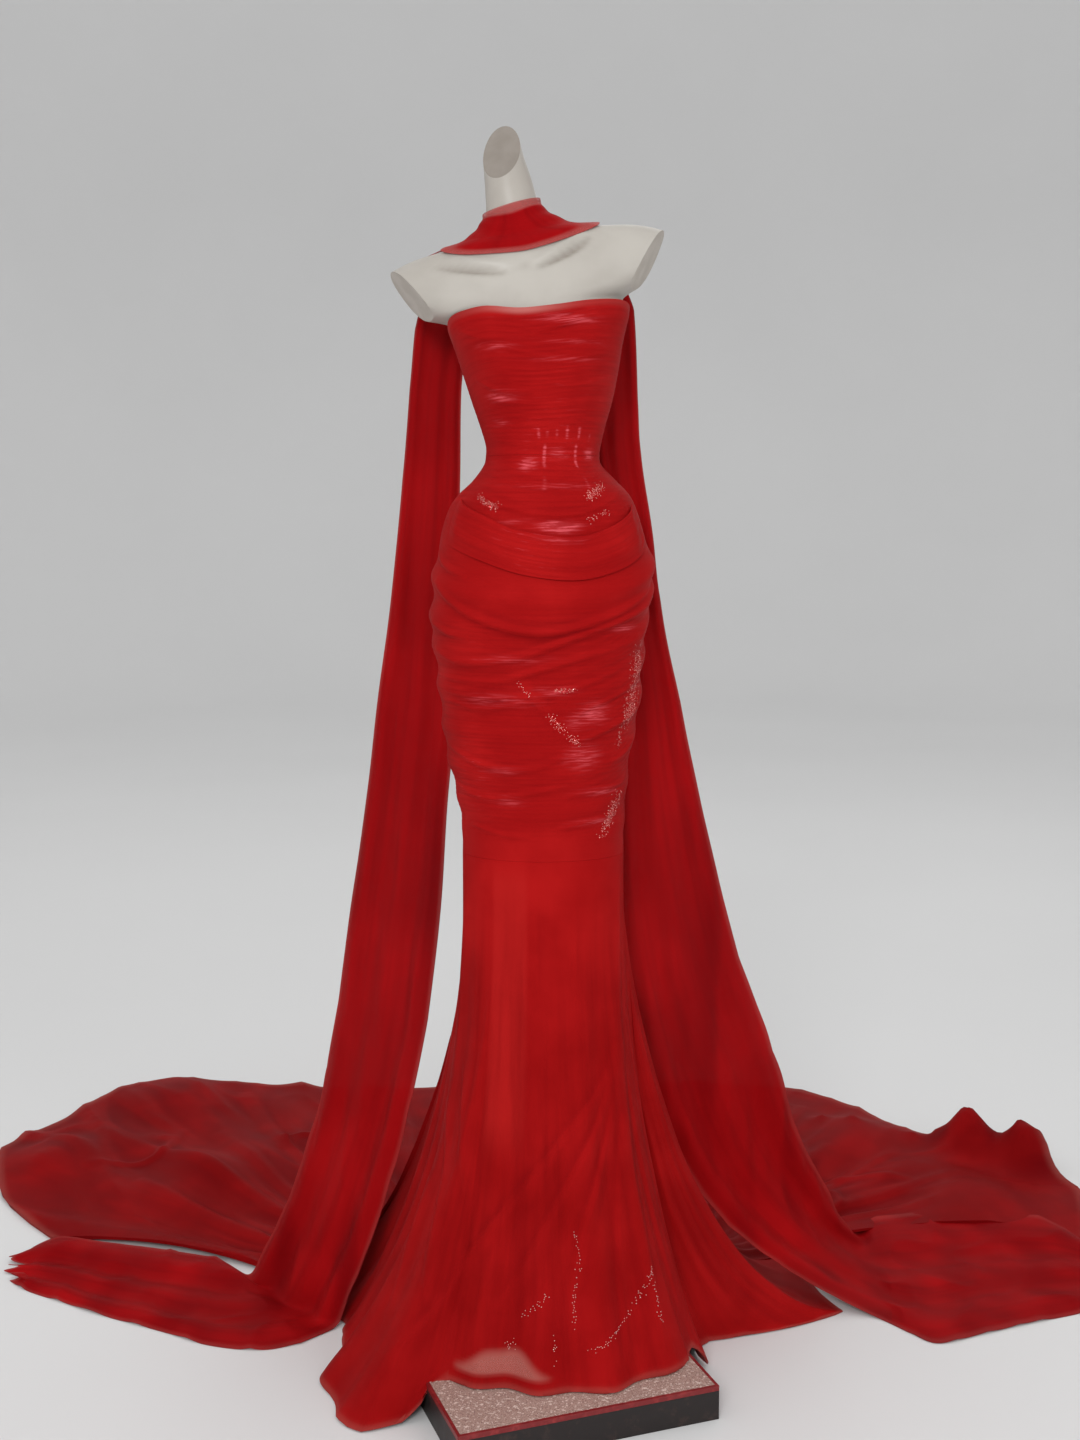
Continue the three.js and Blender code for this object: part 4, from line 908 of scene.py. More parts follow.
class Finish:
    """A material made of nodes round one Principled shader."""

    def __init__(self, name, **constants):
        self.material = bpy.data.materials.new(name)
        self.material.use_nodes = True
        self.tree = self.material.node_tree
        self.shader = self.tree.nodes["Principled BSDF"]
        for socket, value in constants.items():
            self.shader.inputs[socket.replace("_", " ")].default_value = value

    def node(self, kind, settings=None, inputs=None, output=0):
        node = self.tree.nodes.new(kind)
        for name, value in (settings or {}).items():
            setattr(node, name, value)
        for key, value in (inputs or {}).items():
            if isinstance(value, Wire):
                self.tree.links.new(value.socket, node.inputs[key])
            else:
                node.inputs[key].default_value = value
        return Wire(self, node.outputs[output])

    def drive(self, socket, wire):
        self.tree.links.new(wire.socket, self.shader.inputs[socket])

    def scaled(self, place, *sizes):
        return self.node("ShaderNodeVectorMath", {"operation": "MULTIPLY"}, {0: place, 1: sizes})

    def object_place(self):
        return self.node("ShaderNodeTexCoord", output="Object")

    def cloth_place(self, across, down):
        return self.scaled(self.node("ShaderNodeUVMap", {"uv_map": "Cloth"}), across, down, 1.0)

    def parts(self, place):
        across = self.node("ShaderNodeSeparateXYZ", None, {0: place})
        return across, Wire(self, across.socket.node.outputs[1])

    def marks(self, *names):
        """The piece's own marks, each from 0 to 1."""
        return [self.node("ShaderNodeAttribute", {"attribute_name": name}, output="Fac") for name in names]

    def noise(self, place, scale, detail=2.0, roughness=0.5):
        return self.node("ShaderNodeTexNoise", None, {
            "Vector": place, "Scale": scale, "Detail": detail, "Roughness": roughness,
        })

    def grain(self, scale, detail=2.0, roughness=0.5):
        """Noise through the piece."""
        return self.noise(self.object_place(), scale, detail, roughness)

    def streaks(self, across, down, detail, roughness):
        """Noise drawn out along the cloth."""
        return self.noise(self.cloth_place(across, down), 1.0, detail, roughness)

    def colour_mix(self, share, first, second):
        return self.node("ShaderNodeMix", {"data_type": "RGBA"}, {0: share, 6: first, 7: second}, 2)

    def clouded(self, cloud, first, second):
        return self.colour_mix(cloud.between(*CLOUD_EDGES), first, second)

    def coated(self, colour, *coats):
        """A colour under others, each with its share."""
        for share, coat in coats:
            colour = self.colour_mix(share, colour, coat)
        return colour

    def done(self, colour, roughness, height, distance, strength):
        """Drives the shader with its colour, roughness and bump, and gives the material."""
        self.drive("Base Color", colour)
        self.drive("Roughness", roughness)
        self.drive("Normal", self.node("ShaderNodeBump", None, {
            "Height": height, "Distance": distance, "Strength": strength,
        }))
        return self.material


def rgb(red, green, blue):
    """A colour from its values on a screen, from 0 to 255."""
    def linear(value):
        share = value / 255
        return share / 12.92 if share <= 0.04045 else ((share + 0.055) / 1.055) ** 2.4
    return (linear(red), linear(green), linear(blue), 1.0)


KNEE_RED, KNEE_BRIGHT = rgb(158, 17, 18), rgb(177, 24, 24)


def net(finish):
    """Fine net: three sets of threads that cross, from 0 in a hole to 1 on a thread."""
    pace = 2 * math.pi / NET_PITCH
    across, down = finish.parts(finish.cloth_place(pace, pace))
    first = (across * 0.5 + down * 0.87).sine()
    second = (across * 0.5 - down * 0.87).sine()
    return 1.0 - (first * second * across.sine()).size() ** 0.5


def red_net(name, roughness, specular):
    """A finish for red net, whose gloss and sheen are red too."""
    finish = Finish(name, Sheen_Weight=0.02, Sheen_Roughness=0.4, Specular_IOR_Level=specular)
    finish.shader.inputs["Sheen Tint"].default_value = rgb(230, 40, 40)
    finish.shader.inputs["Specular Tint"].default_value = rgb(255, 110, 110)
    finish.shader.inputs["Roughness"].default_value = roughness
    return finish


def dress_tulle():
    """Red net gathered over satin: fine lines along the gathers, painted shade in its creases, and pale
    satin with painted sheen where it lies single.
    """
    finish = red_net("dress_tulle", 0.5, 0.09)
    pale, painted_shade, thin, plain = finish.marks("pale", "painted_shade", "thin", "plain")
    drawn = 1.0 - plain
    streaks = finish.streaks(6.0, 170.0, 4.0, 0.65)
    dashes = finish.streaks(24.0, 330.0, 3.0, 0.6)
    clouds = finish.grain(8.0, 3.0)
    threads = net(finish)
    # Glints: short painted highlights along the gathers.
    glints = dashes.between(0.58, 0.68) * drawn * (0.16 + 0.64 * clouds.between(0.48, 0.68))
    # Pale satin seen through single net, brightened by painted sheen and the painted glints, and glossier
    # there.
    satin = (pale * (0.34 + 0.8 * dashes.between(0.44, 0.6)) + glints * (1.0 - painted_shade)).between(0.0, 1.2)
    red = finish.coated(
        finish.clouded(clouds, KNEE_RED, KNEE_BRIGHT),
        (streaks.between(0.38, 0.66) * drawn * 0.42, rgb(136, 11, 14)),
        # Painted shade in the creases.
        (painted_shade.between(0.47, 1.0) * 0.6, rgb(96, 4, 9)),
        (satin, rgb(214, 84, 92)),
        (thin * (0.35 + 0.45 * threads), rgb(204, 132, 126)),
        (threads * THREAD_SHARE, rgb(112, 6, 11)),
    )
    height = (dashes * 0.6 + streaks * 0.5) * drawn + threads * 0.12
    return finish.done(red, 0.62 - 0.28 * satin, height, 0.0009, 0.4)


def flare_tulle(name, low, high):
    """Loose layers of red net, darkened away from the knee by painted shade: soft streaks down the folds,
    sheer at the hem.
    """
    finish = red_net(name, 0.6, 0.05)
    thin, painted_shade, pale, plain = finish.marks("thin", "painted_shade", "pale", "plain")
    drawn = 1.0 - plain
    streaks = finish.streaks(30.0, 2.2, 4.0, 0.55)
    clouds = finish.grain(8.0, 3.0)
    creases = finish.grain(34.0, 3.0, 0.6)
    threads = net(finish)
    red = finish.coated(
        finish.clouded(clouds, KNEE_RED, KNEE_BRIGHT),
        # Away from the knee the colour turns darker: painted shade.
        (drawn, finish.clouded(clouds, low, high)),
        # A paler red in a strip down the front.
        (pale * 0.5, rgb(186, 34, 32)),
        (streaks.between(0.4, 0.72) * drawn * 0.45, rgb(112, 8, 11)),
        # Painted shade in the creases.
        (painted_shade.between(0.47, 1.0) * 0.6, rgb(92, 4, 9)),
        (thin * 0.75, rgb(214, 128, 118)),
        (threads * THREAD_SHARE, rgb(108, 6, 11)),
    )
    finish.drive("Alpha", 1.0 - thin * (0.55 - 0.2 * threads))
    height = streaks * drawn * 0.5 + creases * 0.35 + threads * 0.12
    return finish.done(red, 0.64 - 0.1 * streaks, height, 0.0012, 0.4)


def scarf_tulle():
    """The scarf's sheer red net: painted shade in its folds and where it lies on the floor, see-through at
    its single edges.
    """
    finish = red_net("scarf_tulle", 0.6, 0.05)
    thin, painted_shade = finish.marks("thin", "painted_shade")
    streaks = finish.streaks(46.0, 1.6, 4.0, 0.55)
    threads = net(finish)
    red = finish.coated(
        finish.clouded(finish.grain(5.0, 3.0), rgb(150, 11, 15), rgb(168, 15, 19)),
        (streaks.between(0.4, 0.72) * 0.45, rgb(124, 8, 12)),
        # Painted shade in the folds and on the floor.
        (painted_shade.between(0.45, 1.0) * 0.5, rgb(94, 4, 9)),
        (thin * 0.6, rgb(210, 112, 108)),
        (threads * THREAD_SHARE, rgb(108, 6, 11)),
    )
    finish.drive("Alpha", 0.97 - thin * (0.5 - 0.2 * threads) - 0.04 * streaks)
    return finish.done(red, 0.66 - 0.1 * streaks, streaks * 0.6 + threads * 0.12, 0.0011, 0.4)


def glint(finish, scales, edges, colours, metal, dull):
    """A small thing that shines: its colour, metal and gloss change from one to the next."""
    tone, film = finish.grain(scales[0], 1.0), finish.grain(scales[1])
    finish.drive("Metallic", metal + 0.3 * tone)
    colour = finish.colour_mix(tone.between(*edges), *colours)
    return finish.done(colour, dull[0] + dull[1] * tone, film, 0.0001, 0.3)


def sequin_glint():
    """Small red sequins that shine pale."""
    finish = Finish("sequin_glint", Coat_Weight=0.6, Coat_Roughness=0.1)
    colours = rgb(222, 52, 54), rgb(255, 172, 164)
    return glint(finish, (600.0, 1800.0), (0.35, 0.65), colours, 0.3, (0.14, 0.2))


def crystal_glint():
    """Tiny pale crystals sewn along the folds of the hem."""
    finish = Finish("crystal_glint", Coat_Weight=0.8, Coat_Roughness=0.05)
    colours = rgb(240, 176, 168), rgb(255, 244, 238)
    return glint(finish, (700.0, 2200.0), (0.4, 0.6), colours, 0.2, (0.08, 0.16))


def form_gloss():
    """The form's warm white gloss, with faint shading of the moulding."""
    finish = Finish("form_gloss", Coat_Weight=0.1, Coat_Roughness=0.3, Specular_IOR_Level=0.35)
    cloud, speck = finish.grain(9.0, 4.0), finish.grain(260.0)
    painted_shade, = finish.marks("painted_shade")
    cream = finish.clouded(cloud, rgb(170, 164, 156), rgb(181, 176, 168))
    # Painted shade in the hollows under the collarbones.
    cream = finish.coated(cream, (painted_shade * 0.7, rgb(128, 118, 108)))
    return finish.done(cream, 0.42 + 0.1 * cloud, cloud * 0.6 + speck * 0.08, 0.0005, 0.3)


def form_cut(name, low, high):
    """A bare flat face where the form is cut: duller than its gloss."""
    finish = Finish(name, Specular_IOR_Level=0.2)
    cloud, speck = finish.grain(30.0, 4.0), finish.grain(420.0)
    height = cloud * 0.4 + speck * 0.2
    return finish.done(finish.clouded(cloud, low, high), 0.66 + 0.1 * speck, height, 0.0004, 0.3)


def pole_steel():
    """Brushed steel, with fine lines round the pole."""
    finish = Finish("pole_steel", Metallic=1.0)
    lines = finish.noise(finish.scaled(finish.object_place(), 12.0, 12.0, 900.0), 1.0, 3.0)
    grey = finish.colour_mix(lines, rgb(140, 142, 146), rgb(196, 198, 202))
    return finish.done(grey, 0.24 + 0.2 * lines, lines, 0.0002, 0.4)


def board_paint():
    """Near-black painted board, scuffed a little."""
    finish = Finish("board_paint")
    scuffs, grain = finish.grain(38.0, 6.0, 0.7), finish.grain(420.0)
    dark = finish.colour_mix(scuffs.between(0.52, 0.75), rgb(26, 17, 16), rgb(58, 40, 36))
    return finish.done(dark, 0.42 + 0.25 * scuffs, grain * 0.4 + scuffs * 0.3, 0.0004, 0.5)


def plate_stone():
    """Pale pinkish speckled plate."""
    finish = Finish("plate_stone")
    grains, flecks = finish.grain(420.0, 3.0, 0.7), finish.grain(230.0, 2.0, 0.6)
    stone = finish.coated(
        finish.colour_mix(finish.grain(12.0, 3.0), rgb(160, 130, 120), rgb(178, 150, 139)),
        (grains.between(0.5, 0.6) * 0.75, rgb(98, 62, 56)),
        (flecks.between(0.56, 0.66) * 0.8, rgb(226, 208, 198)),
    )
    return finish.done(stone, 0.55 + 0.2 * grains, grains * 0.6 + flecks * 0.4, 0.0005, 0.6)


def trim_paint():
    """Dark red painted edge, worn a little."""
    finish = Finish("trim_paint")
    wear = finish.grain(60.0, 5.0, 0.65)
    red = finish.colour_mix(wear.between(0.45, 0.75), rgb(118, 20, 24), rgb(150, 44, 44))
    return finish.done(red, 0.35 + 0.25 * wear, wear, 0.0003, 0.4)


# The cloth pieces

def stepped(spans):
    """Angles in even steps over spans that follow on, each with its start, end and count."""
    return np.concatenate([np.linspace(start, end, count + 1)[:-1] for start, end, count in spans])


def tube_angles(columns):
    return stepped([(-180, 180, columns)])


def pale_patches(phi, z):
    """Where pale satin shows, with a painted sheen: the patches listed and the boning at the waist."""
    bone_width, bone_end = 1.5, 8
    total = np.zeros(np.broadcast(phi, z).shape)
    for angle, height, wide, tall, strength in PALE_PATCHES:
        total += strength * bell(phi - angle, wide) * bell(z - height, tall)
    for angle, low, high, strength in BONES:
        ends = ease(z, low, low + bone_end) * (1 - ease(z, high - bone_end, high))
        total += strength * bell(phi - angle, bone_width) * ends
    return total


def bodice(finish):
    """The gathered bodice, all round, from the waist to its upper edge."""
    spans = [(-180, -90, 64), (-90, 90, 232), (90, 180, 64)]
    line = stepped(spans)
    shares = even(ROWS["bodice"])
    z = mix(WAIST_Z + SEAM_GAP / 2, bodice_top(line)[None, :], shares[:, None])
    angles = np.broadcast_to(line, z.shape)
    folds = []
    for places, width, rise in BODICE_FOLDS:
        at = [(phi, (height - WAIST_Z) / (float(bodice_top(phi)) - WAIST_Z)) for phi, height in places]
        folds.append((at, width, rise))
    raised = gathers(angles, z) + folds_on(body(angles, z), line, shares, folds)
    edge = 1 - ease(bodice_top(angles) - z, 4, 13)
    raised = raised * (1 - 0.6 * edge)
    outer, inner = body(angles, z, raised), body(angles, z, -CLOTH)
    thin = edge * (0.14 + 0.86 * bell(angles + 6, 22))
    # Pale satin with painted sheen, and painted shade in the creases.
    marks = {"pale": pale_patches(angles, z), "painted_shade": hollows(raised), "thin": thin}
    piece = cloth_mesh("bodice_cloth", outer, inner, ring=True, marks=marks, coarse=INNER_STEP)
    finish_piece(piece, finish, "dress_tulle", "bodice_front", "bodice_back_left", "bodice_back_right")


def skirt_panel(name, start, end, columns, rows, folds, finish, nodes):
    """A gathered panel of the skirt: its swags, gathers and laid folds, smoother at the hips and knee."""
    line = np.linspace(start, end, columns + 1)
    heights = np.linspace(KNEE_Z + SEAM_GAP / 2, WAIST_Z - SEAM_GAP / 2, rows + 1)
    angles, z = np.broadcast_arrays(line[None, :], heights[:, None])
    angles = np.where(angles > 180, angles - 360, angles)
    swagged = swags(angles, z)
    raised = gathers(angles, z) + folds_on(body(angles, z, swagged), line, heights, folds)
    outer, inner = body(angles, z, swagged + raised), body(angles, z, -CLOTH)
    smooth = np.maximum(1 - ease(z, KNEE_Z, KNEE_Z + 110), 0.75 * hip_share(z))
    # Pale satin with painted sheen, and painted shade in the creases.
    marks = {"pale": pale_patches(angles, z), "painted_shade": hollows(raised), "plain": smooth}
    piece = cloth_mesh(name, outer, inner, marks=marks, coarse=INNER_STEP)
    finish_piece(piece, finish, "dress_tulle", *nodes)
    return line, heights, outer


def skirt(finish, sequin_finish):
    """The skirt's front and back panels, seamed at the sides, and the sequins that show in front."""
    gap = math.degrees(SEAM_GAP / 2 / WAIST_RADIUS)
    line, heights, outer = skirt_panel(
        "skirt_front_cloth", -90 + gap, 90 - gap, 240, 300, SKIRT_FOLDS, finish, ["skirt_front"],
    )
    nodes = ["skirt_back_left", "skirt_back_right"]
    skirt_panel("skirt_back_cloth", 90 + gap, 270 - gap, 180, 240, SKIRT_BACK_FOLDS, finish, nodes)
    band = band_on(outer, line, heights, SEQUIN_BANDS) * (0.8 + 0.4 * uneven(outer, 30, 61))
    seat = seat_mesh(outer + normals_of(outer) * 0.7, np.clip(band, 0, 1))
    scattered("skirt_sequins", seat, sequin_finish, **SEQUINS)


def cowl(finish):
    """The cowl drape laid over the front of the hips."""
    line = np.linspace(COWL[0, 0], COWL[-1, 0], COLUMNS["cowl"] + 1)
    share = even(ROWS["cowl"])[:, None]
    z = mix(curve(COWL, 2)(line)[None, :], curve(COWL, 1)(line)[None, :], share)
    angles = np.broadcast_to(line, z.shape)
    sides = ease(np.abs(angles - 3), 40, 66)
    drape = 2.6 * bell(share - 0.93, 0.09) + 1.6 * bell(share - 0.62, 0.1) + 1.2 * bell(share - 0.34, 0.1)
    from_side = np.minimum(line + 66, 72 - line)[None, :]
    under = mix(1.6, 4.4, ease(share, 0, 0.4)) * ease(from_side, 0, 12) + 0.8
    lift = under + 0.6 * drape * (1 - 0.4 * sides) + 0.5 * uneven(body(angles, z), 60, 12)
    swagged = swags(angles, z)
    outer, inner = body(angles, z, swagged + lift + CLOTH), body(angles, z, swagged + under)
    crescent = bell(share - 0.9, 0.07) * bell(angles - 8, 14)
    # The pale crescent is satin with a painted sheen, and the shade mark is painted shade, darker off the
    # drape's crests.
    marks = {"pale": 0.6 * crescent, "painted_shade": 0.5 - 0.12 * drape}
    piece = cloth_mesh("cowl_cloth", outer, inner, marks=marks)
    finish_piece(piece, finish, "dress_tulle", "skirt_cowl")


def wrinkles(points, size, rise, seed):
    """Short sharp wrinkles, as net has where it is crushed."""
    return rise * (1 - np.abs(np.clip(uneven(points, size, seed), -1, 1))) ** 1.5


def crushed_points(points):
    """The sharp little peaks where the train's net stands up on the floor."""
    total = np.zeros(points.shape[:-1])
    for x, y, rise, spread in PEAKS:
        total += rise * np.exp(-np.hypot(points[..., 0] - x, points[..., 1] - y) / spread)
    return total


def over_floor(points, height):
    points[..., 2] = np.maximum(points[..., 2], height)
    return points


def flare_angles():
    """Angles round the flare, closest together where its right side sweeps back."""
    spans = [(-120, -112, 12), (-112, -90, 24), (-90, 62, 156), (62, 92, 36), (92, 106, 64), (106, 128, 24)]
    line = np.append(stepped(spans), TRAIN_RIGHT_PHI)
    line[0], line[-1] = line[0] + SEAM_TURN, line[-1] - SEAM_TURN
    return line


def flare(finish, crystal_finish):
    """The flare from the knee to its hem, round the front and the sides, and its crystals."""
    line = flare_angles()
    shares = even(ROWS["flare"])
    down = shares[:, None]
    plain = flare_surface(line, ROWS["flare"], False)
    normals = -normals_of(plain)
    raised = folds_on(plain, line, shares, FLARE_FOLDS, facing=-1)
    raised = raised + ease(down, 0.05, 0.4) * (0.7 + 0.7 * uneven(plain * (1.6, 1.6, 0.5), 70, 25))
    raised = raised * ease(down, 0, 0.05)
    outer = plain + normals * raised[..., None]
    outer[..., 2] += 2.5 * np.clip(ease(down, 0.93, 1) * uneven(plain * (1, 1, 0), 46, 26), 0, 1)
    outer = over_floor(clear_of_plinth(outer, CLOTH + 0.8), CLOTH)
    inner = over_floor(clear_of_plinth(plain - normals * CLOTH, 0.5), 0)
    from_patch = np.abs(line - SHEER_PATCH["angle"])[None, :]
    arch = SHEER_PATCH["top"] + 0.016 * uneven(plain, 60, 27) + 0.04 * (from_patch / 20) ** 2
    sheer = ease(down, arch, arch + 0.026) * (1 - ease(down, *SHEER_PATCH["foot"]))
    sheer = 1.2 * sheer * (1 - ease(from_patch, *SHEER_PATCH["sides"]))
    strip = ease(line, *PALER_STRIP[0]) * (1 - ease(line, *PALER_STRIP[1]))
    # Painted shade in the creases; plain also sets where painted shade darkens the colour away from the
    # knee, and pale is a paler strip.
    marks = {
        "thin": np.maximum(sheer, 0.25 * ease(down, 0.985, 1)), "painted_shade": hollows(raised * 0.4, 4),
        "plain": 1 - ease(down, 0, 0.3),
        "pale": strip[None, :] * ease(down, 0.0, 0.05) * (1 - ease(down, 0.5, 0.6)),
    }
    piece = cloth_mesh("flare_cloth", outer, inner, marks=marks, coarse=INNER_STEP)
    finish_piece(piece, finish, "dress_tulle", "flare_front", "flare_left", "flare_right")
    band = band_on(outer, line, shares, CRYSTAL_LINES)
    seat = seat_mesh(outer + normals * 0.9, np.clip(band, 0, 1))
    scattered("flare_crystals", seat, crystal_finish, **CRYSTALS)


def train_half(name, start, end, folds, finish, node):
    """Half the train: it falls from the knee in folds and lies crushed on the floor."""
    line = np.linspace(start, end, COLUMNS["train"] + 1)
    shares = even(ROWS["train"])
    down = shares[:, None]
    plain = flare_surface(line, ROWS["train"], True)
    normals = -normals_of(plain)
    raised = folds_on(plain, line, shares, folds, steep=0.6, facing=-1)
    degree, whole = TRAIN_SPREAD
    drawn = points_of(line[None, :] * degree, down * whole, 0)
    crushed = wrinkles(drawn, 130, 10, 41) + wrinkles(drawn, 52, 4, 42)
    crushed = crushed * (0.65 + 0.35 * uneven(plain, 400, 44)) + crushed_points(plain)
    hanging = 1.2 + 1.2 * uneven(plain * (1.6, 1.6, 0.4), 80, 43)
    raised = raised + mix(hanging, crushed + 1, ease(down, 0.34, 0.5))
    raised = raised * ease(down, 0, 0.06) * ease(180 - np.abs(line), 0, 3)[None, :]
    outer = over_floor(plain + normals * raised[..., None], CLOTH)
    inner = over_floor(plain - normals * CLOTH, 0)
    # Painted shade in the creases; plain also sets where painted shade darkens the colour away from the
    # knee.
    marks = {
        "thin": 0.25 * ease(down, 0.985, 1), "painted_shade": hollows(raised * 0.45, 4),
        "plain": 1 - ease(down, 0, 0.2),
    }
    piece = cloth_mesh(name, outer, inner, marks=marks, coarse=INNER_STEP)
    finish_piece(piece, finish, "dress_tulle", node)


def train(finish):
    """The train's two halves, seamed at the centre back."""
    gap = SEAM_TURN
    for name, start, end, folds, cut, node in (
        ("train_left_cloth", -180, TRAIN_LEFT_PHI, TRAIN_LEFT_FOLDS, (1.5, 2.0, 1.3), "train_left"),
        ("train_right_cloth", TRAIN_RIGHT_PHI, 180, TRAIN_RIGHT_FOLDS, (1.4, 1.95, 1.1), "train_right"),
    ):
        train_half(name, start + gap, end - gap, folds, finish, node)


def scarf_wrap(finish):
    """The scarf's turn round the neck and over the shoulders."""
    angles, share = np.broadcast_arrays(tube_angles(COLUMNS["wrap"])[None, :], even(ROWS["wrap"])[:, None])
    fold = 1.3 * np.sin(math.pi * share * 3 + np.radians(angles)) ** 2
    fold = fold + 0.5 * uneven(shoulder(angles, mix(wrap_foot(angles), WRAP_TOP_V, share)), 60, 51)
    outer = wrap_point(angles, share, SCARF_CLEARANCE + SCARF_WALL, fold)
    inner = wrap_point(angles, share, SCARF_CLEARANCE, fold)
    thin = 0.8 * (1 - ease(share, 0.05, 0.12)) + ease(share, 0.76, 0.84)
    # The shade mark is painted shade in bands that follow the folds.
    marks = {"thin": thin, "painted_shade": 0.3 + 0.2 * np.cos(math.pi * share * 3) ** 2}
    piece = cloth_mesh("scarf_wrap_cloth", outer, inner, ring=True, marks=marks)
    finish_piece(piece, finish, "scarf_tulle", "scarf_neck")


def fall_grid(table, phis, side):
    """A fall's front and rear points, from the wrap's lower edge to the floor."""
    angles = np.linspace(*phis, COLUMNS["fall"] + 1)
    edge = wrap_point(angles, 0, SCARF_CLEARANCE)
    down = unit(edge - wrap_point(angles, 0.05, SCARF_CLEARANCE))
    top_front = edge + down * SEAM_GAP
    top_rear = wrap_point(angles, 0, SCARF_CLEARANCE + SCARF_WALL) + down * SEAM_GAP
    shares = by_share(table)
    steps = even(ROWS["fall"])
    z = np.interp(steps, shares[:, 0], table[:, 0])
    outer_x, outer_y, inner_x, inner_y = (curve(shares, k)(steps) for k in (2, 3, 4, 5))
    across = points_of(inner_x - outer_x, inner_y - outer_y, 0 * z)
    normal = unit(points_of(-across[:, 1], across[:, 0], 0 * z)) * side
    t = even(COLUMNS["fall"])
    depth = mix(FALL_FOLD["top"], FALL_FOLD["foot"], steps)[:, None]
    wave = 0.5 - 0.5 * np.cos(2 * math.pi * FALL_FOLD["waves"] * (t + 0.05 * np.sin(7 * t)))[None, :]
    start = points_of(outer_x, outer_y, z)
    front = start[:, None, :] + across[:, None, :] * t[None, :, None]
    pleats = 1.5 * uneven(front * (1, 1, 0.12), 26, 71 + side) * ease(steps, 0.02, 0.2)[:, None]
    front = front + normal[:, None, :] * (depth * wave + pleats)[..., None]
    rear = front - normal[:, None, :] * SCARF_WALL
    return np.concatenate([top_front[None], front]), np.concatenate([top_rear[None], rear])


def tail_grid(table, front, far_reach, ragged):
    """A tail's upper points on the floor, from the foot of its fall. Its end is ragged."""
    way = even(ROWS["tail"])[:, None]
    near_x, near_y, far_x, far_y = (curve(by_share(table), k)(way) for k in (1, 2, 3, 4))
    t = even(COLUMNS["fall"])[None, :]
    ridge = 8 * (0.5 - 0.5 * np.cos(2 * math.pi * FALL_FOLD["waves"] * t))
    fingers = ragged * ease(way, 0.82, 1) * uneven(points_of(t * 400, 0, 0), 60, 73)
    spread = points_of(0 * far_x, far_reach * (1 - ease(way, 0.72, 0.98)), 0)
    lying = points_of(mix(far_x, near_x, t), mix(far_y, near_y, t), SCARF_WALL + ridge + 0 * near_x)
    lying += spread * (1 - t)[..., None] ** 2
    lying[..., 0] += np.sign(near_x[0, 0]) * fingers
    lying[..., 2] += 15 * (1 - ease(t, 0, 0.35)) * (1 - ease(way, 0.7, 0.95)) * ease(way, -0.06, 0.08)
    lying[..., 2] += wrinkles(lying, 90, 4, 72)
    foot = front[-1] * (1, 1, 0) + (0, 0, SCARF_WALL)
    bridge = [mix(foot, lying[0], step) for step in even(ROWS["bridge"])]
    return np.concatenate([np.stack(bridge[1:-1]), lying])


def rounded_foot(grid, foot, reach):
    """Softens the bend where a fall turns on to the floor."""
    smooth = np.stack([blurred(grid[..., axis], reach, reach / 1.6, 0) for axis in range(3)], axis=-1)
    rows = np.arange(grid.shape[0])
    share = ease(rows, foot - 2 * reach, foot - 1) * (1 - ease(rows, foot + 1, foot + 2 * reach))
    return mix(grid, smooth, share[:, None, None])


def scarf_side(side, fall, phis, tail, reach, cut, finish):
    """One end of the scarf: it hangs behind the shoulder, turns on to the floor and trails away."""
    front, rear = fall_grid(fall, phis, side)
    lying = tail_grid(tail, front, *reach)
    whole = rounded_foot(np.concatenate([front, lying]), len(front) - 1, 7)
    behind = whole - normals_of(whole) * side * SCARF_WALL
    half, places = len(rear) // 2, np.arange(len(whole))
    behind[:half] = rear[:half]
    share = ease(places, half, half + 20)[:len(rear), None, None]
    behind[:len(rear)] = mix(rear, behind[:len(rear)], share)
    whole, behind = over_floor(whole, SCARF_WALL), over_floor(behind, 0)
    t, rows = even(COLUMNS["fall"])[None, :], even(len(whole) - 1)[:, None]
    edges = (1 - ease(t, 0.01, 0.05)) + ease(t, 0.95, 0.99) + 2 * ease(rows, 0.99, 1)
    on_floor = ease(places, len(front) - 30, len(front) + 10)[:, None]
    cloudy = 0.3 * (1 - 0.6 * on_floor) * uneven(whole * (2.4, 2.4, 0.25), 120, 31)
    # The shade mark is painted shade: darker where the scarf lies on the floor, and uneven down the fall.
    marks = {"thin": 0.22 * edges, "painted_shade": 0.42 + cloudy + 0.34 * on_floor}
    split = len(front) + 6
    end = "scarf_left" if side < 0 else "scarf_right"
    for part, rows_of, (width, length, area), held, rest in (
        ("fall", slice(0, split + 1), cut[0], "hung", ["scarf_wrap_cloth"]),
        ("tail", slice(split, None), cut[1], "laid", []),
    ):
        part_marks = {label: values[rows_of] for label, values in marks.items()}
        piece = cloth_mesh(f"{end}_{part}_cloth", whole[rows_of], behind[rows_of], marks=part_marks)
        finish_piece(piece, finish, "scarf_tulle", f"{end}_{part}")


def scarf_ends(finish):
    left_cut, right_cut = [(0.27, 1.9, 0.34), (0.32, 0.6, 0.13)], [(0.30, 2.0, 0.36), (0.37, 0.52, 0.165)]
    scarf_side(-1, LEFT_FALL, LEFT_FALL_PHI, LEFT_TAIL, (24, 22), left_cut, finish)
    scarf_side(1, RIGHT_FALL, RIGHT_FALL_PHI, RIGHT_TAIL, (86, 12), right_cut, finish)


# The form

